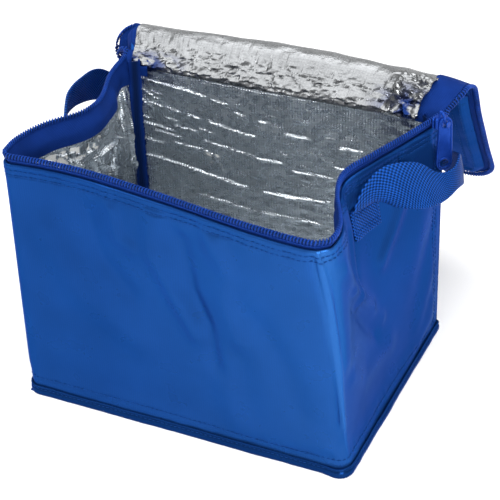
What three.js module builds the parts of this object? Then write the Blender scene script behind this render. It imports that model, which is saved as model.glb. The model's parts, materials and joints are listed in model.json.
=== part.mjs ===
// Insulated cooler bag: coated-fabric box with foam and foil lining, zipped lid and webbing handle.
// Millimetres. X runs along the front, Y to the back, Z up. The origin is under the middle of the base.
import * as THREE from "three";

// Driving dimensions
const WIDTH = 220;
const DEPTH = 160;
const HEIGHT = 168;
const CORNER_RADIUS = 8;
const LEAN_POWER = 1.3;
const FABRIC = 0.6;
const FOAM = 3;
const LID_FOAM = 2.4;
const FOIL = 0.4;
const TAPE = 0.4;
const GAP = 0.3;
const WELT_HEIGHT = 6.5;
const WELT_THICKNESS = 1.4;
const COIL_RADIUS = 1.3;
const TAPE_WIDTH = 17;
const WEBBING_WIDTH = 25;
const WEBBING_THICKNESS = 1.6;
const BINDING_WIDTH = 7;
const BINDING_THICKNESS = 0.5;

// Heights of the wall layers
const FABRIC_LOW = 1.1;
const FOAM_LOW = 4.6;
const LINING_LOW = 5.2;
const FABRIC_TOP = HEIGHT - 3.4;
const FOAM_TOP = HEIGHT - 8;
const LINING_TOP = HEIGHT - 10;
const COIL_HEIGHT = HEIGHT - 1.6;

// Lid: two crest strips bend back over the rear edge, then the panel hangs behind the bag
const CREST_STRIP = 20;
const CREST_HALF_WIDTH = 104;
const CREST_ANGLES = [30, -20, -60];
const LID_LENGTH = 117;
const LID_HALF_WIDTH = 106;
const LID_CORNER = 12;
const LID_TAPE_REACH = 4;
const STRIP_MARGIN = 1.4;

// Handle: its sewn ends stand this far behind the front corners, along the side walls
const HANDLE_RUN = 84;

// Slider: where it stands on the rim, and how its row of parts faces
const SLIDER_RUN = 527;
const SLIDER_TURN = -19.1;
const SLIDER_PIVOT_HEIGHT = HEIGHT - 4.6;

// Slider and pull: the body's half sizes and faces, the crown's bar and head, the tab's outline
const SLIDER_HALF_LENGTH = 5.6;
const SLIDER_HALF_HEIGHT = 4.1;
const SLIDER_CORNER = 1.8;
const SLIDER_FACES = [1.8, 5.6];
const CROWN_BAR_RADIUS = 1.1;
const CROWN_HEAD_RADIUS = 2.8;
const CROWN_FACES = [5.9, 9.1, 9.9];
const TAB_FACES = [6.8, 8.6];
const TAB_TOP_HALF = 4.3;
const TAB_END_HALF = 5.2;
const TAB_REACH = 27.5;
const TAB_EYE_RADIUS = 1.9;
const TAB_HOLE_RADIUS = 3.3;

// Finishes
const finish = (color, roughness, metalness = 0) =>
  new THREE.MeshStandardMaterial({ color, roughness, metalness });
const outerFabric = finish(0x1f56a8, 0.4);
const foilFilm = finish(0xb9bec2, 0.28, 0.9);
const foamSheet = finish(0xf2f2ee, 0.9);
const tapeWeave = finish(0x1b2f8e, 0.75);
const coilNylon = finish(0x1d2f9c, 0.45);
const bindingTape = finish(0x0d1a4a, 0.8);
const webbing = finish(0x1d4fb0, 0.7);
const sliderPaint = finish(0x2436a8, 0.35);

const bag = new THREE.Group();

function add(parent, name, geometry, material) {
  const mesh = new THREE.Mesh(geometry, material);
  mesh.name = name;
  parent.add(mesh);
  return mesh;
}

// The walls are measured by their run: from the rear left corner, round the front, to the rear right.
const FRONT_START = DEPTH;
const FRONT_END = DEPTH + WIDTH;
const RUN_END = 2 * DEPTH + WIDTH;

// How far the soft rim has moved from the base outline: run, shift in X, shift in Y
const RIM_SHIFT = [
  [0, 0, 0],
  [30, 3, 0],
  [62, 13, 0],
  [80, 11.5, 0],
  [102, -3, 0],
  [128, -10, 4],
  [160, -9, 14],
  [210, -9, 16.5],
  [264, -9, 10],
  [330, -9, -1],
  [380, -9, -5],
  [405, -11, -5],
  [435, -25, -5],
  [455, -29.5, -4],
  [480, -21, -4],
  [510, -9.5, -4],
  [530, -2.5, -3],
  [540, 0, 0],
];

// Slope of one column of the table at a row, from its neighbours
function tableSlope(row, column) {
  const before = RIM_SHIFT[Math.max(row - 1, 0)];
  const after = RIM_SHIFT[Math.min(row + 1, RIM_SHIFT.length - 1)];
  return (after[column] - before[column]) / (after[0] - before[0]);
}

// Smooth value of one column of the table at a run
function tableValue(run, column) {
  let row = 0;
  while (row < RIM_SHIFT.length - 2 && run > RIM_SHIFT[row + 1][0]) row += 1;
  const span = RIM_SHIFT[row + 1][0] - RIM_SHIFT[row][0];
  const t = (run - RIM_SHIFT[row][0]) / span;
  const a = RIM_SHIFT[row][column];
  const b = RIM_SHIFT[row + 1][column];
  const slopeA = tableSlope(row, column) * span;
  const slopeB = tableSlope(row + 1, column) * span;
  const cubic = 2 * a - 2 * b + slopeA + slopeB;
  const square = -3 * a + 3 * b - 2 * slopeA - slopeB;
  return ((cubic * t + square) * t + slopeA) * t + a;
}

// Point of the base outline: three straight sides joined by two round front corners
function footprint(run) {
  const x = WIDTH / 2;
  const y = DEPTH / 2;
  const turns = [
    [FRONT_START, -x + CORNER_RADIUS, -y + CORNER_RADIUS, Math.PI],
    [FRONT_END, x - CORNER_RADIUS, -y + CORNER_RADIUS, Math.PI * 1.5],
  ];
  for (const [corner, centreX, centreY, startAngle] of turns) {
    const along = run - corner + CORNER_RADIUS;
    if (along < 0 || along > 2 * CORNER_RADIUS) continue;
    const angle = startAngle + (along / (2 * CORNER_RADIUS)) * (Math.PI / 2);
    return [centreX + CORNER_RADIUS * Math.cos(angle), centreY + CORNER_RADIUS * Math.sin(angle)];
  }
  if (run < FRONT_START) return [-x, y - run];
  if (run < FRONT_END) return [run - FRONT_START - x, -y];
  return [x, run - FRONT_END - y];
}

// Outer surface of the walls at a run and a height
function wallPoint(run, height) {
  const [x, y] = footprint(run);
  const lean = Math.pow(height / HEIGHT, LEAN_POWER);
  return new THREE.Vector3(x + tableValue(run, 1) * lean, y + tableValue(run, 2) * lean, height);
}

// Outward direction of the walls
function wallNormal(run, height) {
  const step = 0.5;
  const along = wallPoint(run + step, height).sub(wallPoint(run - step, height));
  const up = wallPoint(run, height + step).sub(wallPoint(run, height - step));
  return along.cross(up).normalize();
}

function wallOffset(run, height, inset) {
  return wallPoint(run, height).addScaledVector(wallNormal(run, height), -inset);
}

// Closed solid between two grids of points; the front grid's rows cross its columns facing out
function slab(front, back) {
  const rows = front.length - 1;
  const columns = front[0].length - 1;
  const corners = [];
  const quad = (a, b, c, d) => corners.push(a, b, c, a, c, d);
  for (let i = 0; i < rows; i += 1) {
    for (let j = 0; j < columns; j += 1) {
      quad(front[i][j], front[i + 1][j], front[i + 1][j + 1], front[i][j + 1]);
      quad(back[i][j], back[i][j + 1], back[i + 1][j + 1], back[i + 1][j]);
    }
    quad(front[i][0], back[i][0], back[i + 1][0], front[i + 1][0]);
    quad(front[i][columns], front[i + 1][columns], back[i + 1][columns], back[i][columns]);
  }
  for (let j = 0; j < columns; j += 1) {
    quad(front[0][j], front[0][j + 1], back[0][j + 1], back[0][j]);
    quad(front[rows][j], back[rows][j], back[rows][j + 1], front[rows][j + 1]);
  }
  return new THREE.BufferGeometry().setFromPoints(corners);
}

function spread(from, to, pieces) {
  return Array.from({ length: pieces + 1 }, (_, i) => from + ((to - from) * i) / pieces);
}

// Runs that every layer shares, so that the layers stay parallel: wide steps on the flats, fine
// ones round the corners, and the edges of both sewn handle ends
const CORNERS = [FRONT_START, FRONT_END];
const SEWN_RUNS = [FRONT_START - HANDLE_RUN, FRONT_END + HANDLE_RUN];
const SHARED_RUNS = [
  ...spread(0, RUN_END, 45).filter((run) => CORNERS.every((corner) => Math.abs(run - corner) > 10)),
  ...CORNERS.flatMap((corner) => spread(corner - CORNER_RADIUS, corner + CORNER_RADIUS, 4)),
  ...SEWN_RUNS.flatMap((run) => spread(run - WEBBING_WIDTH / 2, run + WEBBING_WIDTH / 2, 1)),
].sort((a, b) => a - b);

function stations(from, to) {
  return [from, ...SHARED_RUNS.filter((run) => run > from + 1 && run < to - 1), to];
}

// Heights that every layer shares, so that the layers stay parallel
function levels(low, high) {
  return [low, ...spread(0, HEIGHT, 6).filter((h) => h > low + 4 && h < high - 4), high];
}

// Layer of the walls between two insets, two runs and two heights
function wallLayer(insetOut, insetIn, fromRun, toRun, low, high) {
  const runs = stations(fromRun, toRun);
  const heights = levels(low, high);
  const grid = (inset) => runs.map((run) => heights.map((h) => wallOffset(run, h, inset)));
  return slab(grid(insetOut), grid(insetIn));
}

function box(low, high) {
  const size = low.map((value, i) => high[i] - value);
  const geometry = new THREE.BoxGeometry(...size);
  return geometry.translate(...low.map((value, i) => value + size[i] / 2));
}

// Rectangle whose front and rear pairs of corners have radii of their own
function roundedOutline(target, halfX, halfY, radius, rearRadius = radius) {
  target.moveTo(-halfX + radius, -halfY);
  target.lineTo(halfX - radius, -halfY);
  target.absarc(halfX - radius, -halfY + radius, radius, -Math.PI / 2, 0);
  target.lineTo(halfX, halfY - rearRadius);
  target.absarc(halfX - rearRadius, halfY - rearRadius, rearRadius, 0, Math.PI / 2);
  target.lineTo(-halfX + rearRadius, halfY);
  target.absarc(-halfX + rearRadius, halfY - rearRadius, rearRadius, Math.PI / 2, Math.PI);
  target.lineTo(-halfX, -halfY + radius);
  target.absarc(-halfX + radius, -halfY + radius, radius, Math.PI, Math.PI * 1.5);
  return target;
}

function extrude(shape, low, high, curveSegments = 4) {
  const options = { depth: high - low, bevelEnabled: false, curveSegments };
  return new THREE.ExtrudeGeometry(shape, options).translate(0, 0, low);
}

function tube(points, radius, steps) {
  const section = new THREE.Shape().absarc(0, 0, radius, 0, Math.PI * 2);
  const options = { steps, curveSegments: 4, extrudePath: new THREE.CatmullRomCurve3(points) };
  return new THREE.ExtrudeGeometry(section, options);
}

// Insets of the wall layers, counted inwards from the outer surface
const foamOut = FABRIC + GAP;
const foamIn = foamOut + FOAM;
const foilOut = foamIn + GAP;
const foilIn = foilOut + FOIL;
const tapeOut = foilIn + GAP;
const tapeIn = tapeOut + TAPE;

function addBase() {
  const halfX = WIDTH / 2;
  const halfY = DEPTH / 2;
  const plate = (inset, radius, rearRadius = radius) =>
    roundedOutline(new THREE.Shape(), halfX - inset, halfY - inset, radius, rearRadius);
  const panelTop = 0.8;
  const panelPlate = plate(0.2, CORNER_RADIUS);
  const foamPlate = plate(1.2, CORNER_RADIUS - 1);
  const foilPlate = plate(tapeIn, 3);
  const foamTop = panelTop + GAP + FOAM;
  const foilLow = foamTop + GAP;
  add(bag, "base_panel", extrude(panelPlate, 0, panelTop), outerFabric);
  add(bag, "base_foam", extrude(foamPlate, panelTop + GAP, foamTop), foamSheet);
  add(bag, "base_foil", extrude(foilPlate, foilLow, foilLow + FOIL), foilFilm);
  const sideOut = GAP + WELT_THICKNESS;
  const rearRadius = 1 + WELT_THICKNESS;
  const frontRadius = CORNER_RADIUS + WELT_THICKNESS;
  const hole = roundedOutline(new THREE.Path(), halfX + GAP, halfY + GAP, CORNER_RADIUS, GAP / 2);
  const welt = plate(-sideOut, frontRadius, rearRadius);
  welt.holes.push(hole);
  add(bag, "base_welt", extrude(welt, 0, WELT_HEIGHT), outerFabric);
}

// The wrap goes round the front and both sides; each wall has its own foam sheet behind it.
function addWalls() {
  const wrapMargin = 1.2;
  const sideMargin = 4.5;
  const liningMargin = 5.6;
  const cornerMargin = CORNER_RADIUS + 0.4;
  const wrap = wallLayer(0, FABRIC, wrapMargin, RUN_END - wrapMargin, FABRIC_LOW, FABRIC_TOP);
  add(bag, "outer_wrap", wrap, outerFabric);
  const foams = {
    foam_left: [sideMargin, FRONT_START - cornerMargin],
    foam_front: [FRONT_START - CORNER_RADIUS, FRONT_END + CORNER_RADIUS],
    foam_right: [FRONT_END + cornerMargin, RUN_END - sideMargin],
  };
  for (const [name, [from, to]] of Object.entries(foams)) {
    add(bag, name, wallLayer(foamOut, foamIn, from, to, FOAM_LOW, FOAM_TOP), foamSheet);
  }
  const liningEnd = RUN_END - liningMargin;
  const lining = wallLayer(foilOut, foilIn, liningMargin, liningEnd, LINING_LOW, LINING_TOP);
  add(bag, "foil_wrap", lining, foilFilm);
}

// Flat sheet of the rear wall between two insets, as wide as twice its half width
function rearSheet(halfX, insetOut, insetIn, low, high) {
  const rear = DEPTH / 2;
  return box([-halfX, rear - insetIn, low], [halfX, rear - insetOut, high]);
}

function addBack() {
  const halfX = WIDTH / 2;
  const panelTop = HEIGHT - 0.6;
  const foilTop = HEIGHT - 2;
  const foamMargin = 1.4;
  const foilHalf = halfX - tapeOut;
  const foam = rearSheet(halfX - foamMargin, foamOut, foamIn, FOAM_LOW, FOAM_TOP);
  add(bag, "back_panel", rearSheet(halfX, 0, FABRIC, FABRIC_LOW, panelTop), outerFabric);
  add(bag, "foam_back", foam, foamSheet);
  add(bag, "foil_back", rearSheet(foilHalf, foilOut, foilIn, LINING_LOW, foilTop), foilFilm);
  const bindingCentre = 99;
  const bindingIn = tapeOut + BINDING_THICKNESS;
  for (const [side, name] of [[-1, "binding_left"], [1, "binding_right"]]) {
    const strip = rearSheet(BINDING_WIDTH / 2, tapeOut, bindingIn, LINING_LOW, LINING_TOP);
    add(bag, name, strip.translate(side * bindingCentre, 0, 0), bindingTape);
  }
}

function addRimZip() {
  const start = 8;
  const end = RUN_END - start;
  const tapeLow = FABRIC_TOP - TAPE_WIDTH;
  add(bag, "zip_tape_body", wallLayer(tapeOut, tapeIn, start, end, tapeLow, FABRIC_TOP), tapeWeave);
  const coilInset = 1;
  const coilSteps = 76;
  const path = stations(start, end).map((run) => wallOffset(run, COIL_HEIGHT, coilInset));
  add(bag, "zip_coil_body", tube(path, COIL_RADIUS, coilSteps), coilNylon);
}

// One rigid stretch of the lid: local X stays X, local Y runs along it, local Z is its lining side
function lidFrame(y, z, angle) {
  const frame = new THREE.Group();
  frame.position.set(0, y, z);
  frame.rotation.x = THREE.MathUtils.degToRad(angle);
  bag.add(frame);
  return frame;
}

// U-shaped band open towards the hinge
function bandOutline(halfOut, endOut, width, start, radius) {
  const band = new THREE.Shape();
  const innerHalf = halfOut - width;
  const innerEnd = endOut - width;
  band.moveTo(halfOut, start);
  band.lineTo(halfOut, endOut - radius);
  band.absarc(halfOut - radius, endOut - radius, radius, 0, Math.PI / 2);
  band.lineTo(-halfOut + radius, endOut);
  band.absarc(-halfOut + radius, endOut - radius, radius, Math.PI / 2, Math.PI);
  band.lineTo(-halfOut, start);
  band.lineTo(-innerHalf, start);
  band.lineTo(-innerHalf, innerEnd);
  band.lineTo(innerHalf, innerEnd);
  band.lineTo(innerHalf, start);
  return band;
}

// Panel with two round corners at its free end
function lidOutline(halfX, start, end, radius) {
  const panel = new THREE.Shape();
  panel.moveTo(-halfX, start);
  panel.lineTo(halfX, start);
  panel.lineTo(halfX, end - radius);
  panel.absarc(halfX - radius, end - radius, radius, 0, Math.PI / 2);
  panel.lineTo(-halfX + radius, end);
  panel.absarc(-halfX + radius, end - radius, radius, Math.PI / 2, Math.PI);
  return panel;
}

function lidCoilPath(halfX, start, end, radius, level) {
  const points = [];
  for (const along of spread(start, end - radius, 4)) points.push([halfX, along]);
  for (const angle of spread(0, Math.PI / 2, 4).slice(1)) {
    points.push([halfX - radius + radius * Math.cos(angle), end - radius + radius * Math.sin(angle)]);
  }
  const mirrored = points.map(([x, along]) => [-x, along]).reverse();
  const front = spread(halfX - radius, -halfX + radius, 6).slice(1, -1).map((x) => [x, end]);
  return [...points, ...front, ...mirrored].map(([x, along]) => new THREE.Vector3(x, along, level));
}

// Faces of the lid's layers in local Z, from the lining side down to the outer fabric
const lidTapeTop = -GAP;
const lidFoilTop = lidTapeTop - TAPE - GAP;
const lidFoamTop = lidFoilTop - FOIL - GAP;
const lidFabricTop = lidFoamTop - LID_FOAM - GAP;

// Foil and outer fabric of one strip that folds over the rear edge
function addCrestStrip(frame, name) {
  const strip = (top, thickness) =>
    box(
      [-CREST_HALF_WIDTH, STRIP_MARGIN, top - thickness],
      [CREST_HALF_WIDTH, CREST_STRIP - STRIP_MARGIN, top],
    );
  add(frame, name + "_foil", strip(lidFoilTop, FOIL), foilFilm);
  add(frame, name + "_outer", strip(lidFoamTop, FABRIC), outerFabric);
}

function addLidPanel(frame) {
  const start = 2.2;
  const foamMargin = 3;
  const panel = lidOutline(LID_HALF_WIDTH, start, LID_LENGTH, LID_CORNER);
  const inner = lidOutline(LID_HALF_WIDTH - foamMargin, start, LID_LENGTH - foamMargin, LID_CORNER);
  add(frame, "lid_outer", extrude(panel, lidFabricTop - FABRIC, lidFabricTop), outerFabric);
  add(frame, "lid_foam", extrude(inner, lidFoamTop - LID_FOAM, lidFoamTop), foamSheet);
  add(frame, "lid_foil", extrude(inner, lidFoilTop - FOIL, lidFoilTop), foilFilm);
  const tapeHalf = LID_HALF_WIDTH + LID_TAPE_REACH;
  const tapeEnd = LID_LENGTH + LID_TAPE_REACH;
  const band = bandOutline(tapeHalf, tapeEnd, TAPE_WIDTH, start, LID_CORNER + 3);
  add(frame, "zip_tape_lid", extrude(band, lidTapeTop - TAPE, lidTapeTop), tapeWeave);
  const coilOut = GAP + COIL_RADIUS;
  const coilLevel = lidTapeTop - COIL_RADIUS;
  const coilSteps = 52;
  const path = lidCoilPath(tapeHalf + coilOut, start, tapeEnd + coilOut, LID_CORNER + 4, coilLevel);
  add(frame, "zip_coil_lid", tube(path, COIL_RADIUS, coilSteps), coilNylon);
}

function addLid() {
  let y = DEPTH / 2;
  let z = HEIGHT;
  for (const [index, name] of ["crest_low", "crest_high"].entries()) {
    const angle = CREST_ANGLES[index];
    addCrestStrip(lidFrame(y, z, angle), name);
    y += CREST_STRIP * Math.cos(THREE.MathUtils.degToRad(angle));
    z += CREST_STRIP * Math.sin(THREE.MathUtils.degToRad(angle));
  }
  addLidPanel(lidFrame(y, z, CREST_ANGLES[2]));
}

// Edges of the webbing loop, from the right sewn end, round behind the bag, to the left sewn end.
// The first edge is the one that faces up behind the bag.
const LOOP_UPPER = [
  [89.5, -11, 142],
  [95, 6, 150],
  [106, 20, 155],
  [117, 30, 157],
  [127, 42, 157],
  [129, 58, 156],
  [124, 76, 156],
  [110, 92, 156],
  [80, 101, 156],
  [0, 104, 155],
  [-80, 102, 156],
  [-112, 92, 156],
  [-127, 74, 156],
  [-132, 54, 156],
  [-130, 34, 156],
  [-122, 16, 154],
  [-115, 0, 150],
  [-108.5, -9, 142],
];
const LOOP_LOWER = [
  [96, 13, 142],
  [104, 13, 139],
  [113, 15, 136],
  [122, 22, 133],
  [128, 36, 132],
  [129, 54, 132],
  [123, 74, 132],
  [108, 92, 132],
  [80, 101, 132],
  [0, 104, 131],
  [-80, 102, 132],
  [-112, 93, 132],
  [-128, 75, 132],
  [-134, 54, 132],
  [-132, 34, 133],
  [-124, 22, 137],
  [-115, 16, 140],
  [-104, 16, 142],
];

// Ribbon of even thickness between two edge curves
function ribbon(edgeA, edgeB, thickness, steps) {
  const curves = [edgeA, edgeB].map(
    (points) => new THREE.CatmullRomCurve3(points.map((p) => new THREE.Vector3(...p))),
  );
  const at = (t, across) => curves[0].getPoint(t).lerp(curves[1].getPoint(t), across);
  const offsetPoint = (t, across, offset) => {
    const step = 0.002;
    const along = at(Math.min(t + step, 1), across).sub(at(Math.max(t - step, 0), across));
    const over = at(t, 1).sub(at(t, 0));
    return at(t, across).addScaledVector(along.cross(over).normalize(), offset);
  };
  const rows = spread(0, 1, steps);
  const grid = (offset) => rows.map((t) => [0, 1].map((across) => offsetPoint(t, across, offset)));
  return slab(grid(thickness / 2), grid(-thickness / 2));
}

function addHandle() {
  const [sewnLow, sewnTop] = levels(0, HEIGHT).slice(4, 6);
  const sewnOut = -GAP - WEBBING_THICKNESS;
  for (const [side, name] of ["handle_sewn_end_left", "handle_sewn_end_right"].entries()) {
    const from = SEWN_RUNS[side] - WEBBING_WIDTH / 2;
    const to = from + WEBBING_WIDTH;
    add(bag, name, wallLayer(sewnOut, -GAP, from, to, sewnLow, sewnTop), webbing);
  }
  const loopSteps = 48;
  const loop = ribbon(LOOP_UPPER, LOOP_LOWER, WEBBING_THICKNESS, loopSteps);
  add(bag, "handle_strap", loop, webbing);
}

// Tab that hangs from the crown's bar, a little wider at its free end, with an eye and a finger hole
function tabOutline() {
  const tab = new THREE.Shape();
  const hole = (y, radius) => new THREE.Path().absarc(0, y, radius, 0, Math.PI * 2);
  tab.absarc(0, 0, TAB_TOP_HALF, 0, Math.PI);
  tab.absarc(0, -TAB_REACH, TAB_END_HALF, Math.PI, Math.PI * 2);
  tab.holes.push(hole(0, TAB_EYE_RADIUS), hole(-TAB_REACH, TAB_HOLE_RADIUS));
  return tab;
}

// In the slider's own frame X points away from the wall and Y runs along the coil.
function addSlider() {
  const stand = new THREE.Group();
  const rim = wallPoint(SLIDER_RUN, HEIGHT);
  stand.position.set(rim.x, rim.y, SLIDER_PIVOT_HEIGHT);
  stand.rotation.z = THREE.MathUtils.degToRad(SLIDER_TURN);
  bag.add(stand);
  const outwards = (geometry) => geometry.rotateX(Math.PI / 2).rotateZ(Math.PI / 2);
  const plate = new THREE.Shape();
  roundedOutline(plate, SLIDER_HALF_LENGTH, SLIDER_HALF_HEIGHT, SLIDER_CORNER);
  add(stand, "slider_body", outwards(extrude(plate, ...SLIDER_FACES)), sliderPaint);
  const [barStart, headStart, headEnd] = CROWN_FACES;
  const profile = [
    [0, barStart],
    [CROWN_BAR_RADIUS, barStart],
    [CROWN_BAR_RADIUS, headStart],
    [CROWN_HEAD_RADIUS, headStart],
    [CROWN_HEAD_RADIUS, headEnd],
    [0, headEnd],
  ].map(([radius, along]) => new THREE.Vector2(radius, along));
  const crown = new THREE.LatheGeometry(profile, 16).rotateZ(-Math.PI / 2);
  add(stand, "slider_crown", crown, sliderPaint);
  const tabSides = 8;
  const pull = outwards(extrude(tabOutline(), ...TAB_FACES, tabSides));
  add(stand, "pull_tab", pull, sliderPaint);
}

addBase();
addWalls();
addBack();
addRimZip();
addLid();
addHandle();
addSlider();

export default bag;
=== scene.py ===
"""Insulated cooler bag: the looks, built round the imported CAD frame."""
import json
import math

import bpy
import numpy as np
from mathutils import Matrix, Vector


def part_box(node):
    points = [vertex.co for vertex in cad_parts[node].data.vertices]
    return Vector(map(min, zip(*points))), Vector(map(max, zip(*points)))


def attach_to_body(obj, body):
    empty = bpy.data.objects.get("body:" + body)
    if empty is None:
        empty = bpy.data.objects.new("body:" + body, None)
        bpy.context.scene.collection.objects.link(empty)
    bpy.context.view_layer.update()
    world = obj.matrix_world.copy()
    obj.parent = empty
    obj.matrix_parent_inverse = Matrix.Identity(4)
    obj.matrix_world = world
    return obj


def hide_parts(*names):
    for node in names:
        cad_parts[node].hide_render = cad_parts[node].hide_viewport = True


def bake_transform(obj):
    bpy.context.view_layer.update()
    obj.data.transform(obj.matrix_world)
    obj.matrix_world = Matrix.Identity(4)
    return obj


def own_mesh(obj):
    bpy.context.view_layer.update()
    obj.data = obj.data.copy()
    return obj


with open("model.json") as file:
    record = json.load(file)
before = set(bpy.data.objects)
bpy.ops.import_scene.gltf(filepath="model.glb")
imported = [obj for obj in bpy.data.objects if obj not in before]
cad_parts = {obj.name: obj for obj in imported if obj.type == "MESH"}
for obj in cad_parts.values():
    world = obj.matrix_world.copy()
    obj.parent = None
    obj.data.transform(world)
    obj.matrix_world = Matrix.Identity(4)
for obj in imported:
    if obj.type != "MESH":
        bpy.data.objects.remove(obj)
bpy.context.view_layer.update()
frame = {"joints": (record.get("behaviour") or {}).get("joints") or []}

# Shapes are worked out in millimetres and scaled to metres when their mesh is made.
MM = 0.001
X, Y, Z = range(3)


def low(node, axis):
    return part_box(node)[0][axis] / MM


def high(node, axis):
    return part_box(node)[1][axis] / MM


# Driving sizes, from the frame
WIDTH = high("back_panel", X) - low("back_panel", X)
DEPTH = 2 * high("back_panel", Y)
HEIGHT = high("foil_back", Z) + 2
HEM_TOP = high("base_welt", Z)
BASE_FOIL_TOP = high("base_foil", Z)
CREST_STRIP = 20
CREST_ANGLES = [30, -20, -60]
LID_LENGTH = 117
LID_END = 2 * CREST_STRIP + LID_LENGTH
LID_EDGE = 110
LID_CORNER = 18
TAPE_WIDTH = 17
TAPE_THICKNESS = 0.4
FILM_THICKNESS = 0.3

# Layers of the walls, as insets from the outer surface
FABRIC = 0.55
FOAM = [0.9, 3.7]
FOIL = [4.15, 4.5]
FABRIC_TOP = HEIGHT - 6.6
FOAM_TOP = HEIGHT - 11
COIL_HEIGHT = HEIGHT - 1.7

rng = np.random.default_rng(11)


def smooth(value, start, end):
    """0 up to start and 1 from end on, with a smooth step between."""
    t = np.clip((value - start) / (end - start), 0, 1)
    return t * t * (3 - 2 * t)


def window(value, start, full, fade, end):
    """Rises from 0 at start to 1 at full, and falls back to 0 from fade to end."""
    return smooth(value, start, full) * (1 - smooth(value, fade, end))


def grid(u, v):
    """Every pairing of u and v, as two tables with a row for each u."""
    return np.meshgrid(u, v, indexing="ij")


def unit(vectors):
    return vectors / np.maximum(np.linalg.norm(vectors, axis=-1, keepdims=True), 1e-9)


def reach_of(path):
    """Distance along a path at each of its points."""
    return np.concatenate([[0], np.cumsum(np.linalg.norm(np.diff(path, axis=0), axis=1))])


def read_along(where, reach, path):
    """Points of a path at given distances along it."""
    return np.stack([np.interp(where, reach, column) for column in path.T], -1)


def add_object(name, data):
    made = bpy.data.objects.new(name, data)
    bpy.context.scene.collection.objects.link(made)
    return made


def read_shape(holder):
    """Points and faces of an object as its modifiers or its curve settings make it."""
    evaluated = holder.evaluated_get(bpy.context.evaluated_depsgraph_get())
    shape = evaluated.to_mesh()
    points = np.zeros(len(shape.vertices) * 3, np.float32)
    shape.vertices.foreach_get("co", points)
    faces = [list(polygon.vertices) for polygon in shape.polygons]
    evaluated.to_mesh_clear()
    return points.reshape(-1, 3), faces


# ---- Noise and creases ----------------------------------------------------------------

def noise(u, v, seed):
    """Smooth noise from -1 to 1, one lattice cell for each unit of u and v."""
    size = 61
    lattice = np.random.default_rng(seed).uniform(-1, 1, (size, size))
    iu, iv = np.floor(u).astype(int), np.floor(v).astype(int)
    fu, fv = smooth(u - iu, 0, 1), smooth(v - iv, 0, 1)
    iu, iv, ju, jv = iu % size, iv % size, (iu + 1) % size, (iv + 1) % size
    near = lattice[iu, iv] * (1 - fu) + lattice[ju, iv] * fu
    far = lattice[iu, jv] * (1 - fu) + lattice[ju, jv] * fu
    return near * (1 - fv) + far * fv


def crumple(u, v, cell, seed):
    """Sharp-ridged noise, as of crushed film: about -1 to 1, with features of one cell and smaller."""
    total = np.zeros(np.broadcast(u, v).shape)
    for octave, share in enumerate([0.55, 0.3, 0.15]):
        size = cell / 2 ** octave
        turn = 0.7 * octave
        a = (u * math.cos(turn) + v * math.sin(turn)) / size
        b = (v * math.cos(turn) - u * math.sin(turn)) / size
        total += share * (1 - 3 * np.abs(noise(a, b, seed + octave)))
    return total


def ridges(u, v, creases):
    """Sum of soft ridges. Each crease is its height, its half width and the points it runs through."""
    total = np.zeros(np.broadcast(u, v).shape)
    for height, width, points in creases:
        best = np.full(total.shape, 1e9)
        for (u0, v0), (u1, v1) in zip(points, points[1:]):
            du, dv = u1 - u0, v1 - v0
            t = np.clip(((u - u0) * du + (v - v0) * dv) / (du * du + dv * dv), 0, 1)
            best = np.minimum(best, np.hypot(u - u0 - t * du, v - v0 - t * dv))
        total += height * np.exp(-(best / width) ** 2)
    return total


# ---- Walls ----------------------------------------------------------------------------
# Walls are measured by their run: from the rear left corner, round the front, to the rear right.

FRONT_START = DEPTH
FRONT_END = DEPTH + WIDTH
RUN_END = 2 * DEPTH + WIDTH
CORNER_RADIUS = 8
LEAN_POWER = 1.3
FACET_FOOT = 22
FACET_FLATNESS = 0.85

# How far the soft rim has moved from the base outline: run, shift in X, shift in Y
RIM_SHIFT = np.array([
    [0, 0, 0], [30, 3, 0], [62, 13, 0], [80, 11.5, 0], [102, -3, 0], [128, -10, 4],
    [160, -9, 14], [210, -9, 16.5], [264, -9, 10], [330, -9, -1], [380, -9, -5], [405, -11, -5],
    [435, -25, -5], [455, -29.5, -4], [480, -21, -4], [510, -9.5, -4], [530, -2.5, -3], [540, 0, 0],
], float)


def rim_shift(run, column):
    """One column of the table, read as a smooth curve through its knots."""
    knots, values = RIM_SHIFT[:, 0], RIM_SHIFT[:, column]
    before = np.maximum(np.arange(len(knots)) - 1, 0)
    after = np.minimum(np.arange(len(knots)) + 1, len(knots) - 1)
    slopes = (values[after] - values[before]) / (knots[after] - knots[before])
    row = np.clip(np.searchsorted(knots, run) - 1, 0, len(knots) - 2)
    span = knots[row + 1] - knots[row]
    t = (run - knots[row]) / span
    a, b, slope_a, slope_b = values[row], values[row + 1], slopes[row] * span, slopes[row + 1] * span
    cubic, square = 2 * a - 2 * b + slope_a + slope_b, -3 * a + 3 * b - 2 * slope_a - slope_b
    return ((cubic * t + square) * t + slope_a) * t + a


def footprint(run):
    """The outline of the base: X and Y at each run."""
    x, y, r = WIDTH / 2, DEPTH / 2, CORNER_RADIUS
    left = np.clip((run - FRONT_START + r) / (2 * r), 0, 1) * math.pi / 2 + math.pi
    right = np.clip((run - FRONT_END + r) / (2 * r), 0, 1) * math.pi / 2 + 1.5 * math.pi
    on_front = (run > FRONT_START + r) & (run < FRONT_END - r)
    px = np.where(run < FRONT_START + r, -x + r + r * np.cos(left), x - r + r * np.cos(right))
    py = np.where(run < FRONT_START + r, -y + r + r * np.sin(left), -y + r + r * np.sin(right))
    px = np.where(on_front, run - FRONT_START - x, px)
    py = np.where(run < FRONT_START - r, y - run, np.where(run > FRONT_END + r, run - FRONT_END - y, py))
    return px, py


def bare_wall(run, height):
    x, y = footprint(run)
    lean = np.maximum(height / HEIGHT, 0) ** LEAN_POWER
    return np.stack([x + rim_shift(run, 1) * lean, y + rim_shift(run, 2) * lean, height + 0 * run], -1)


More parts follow.
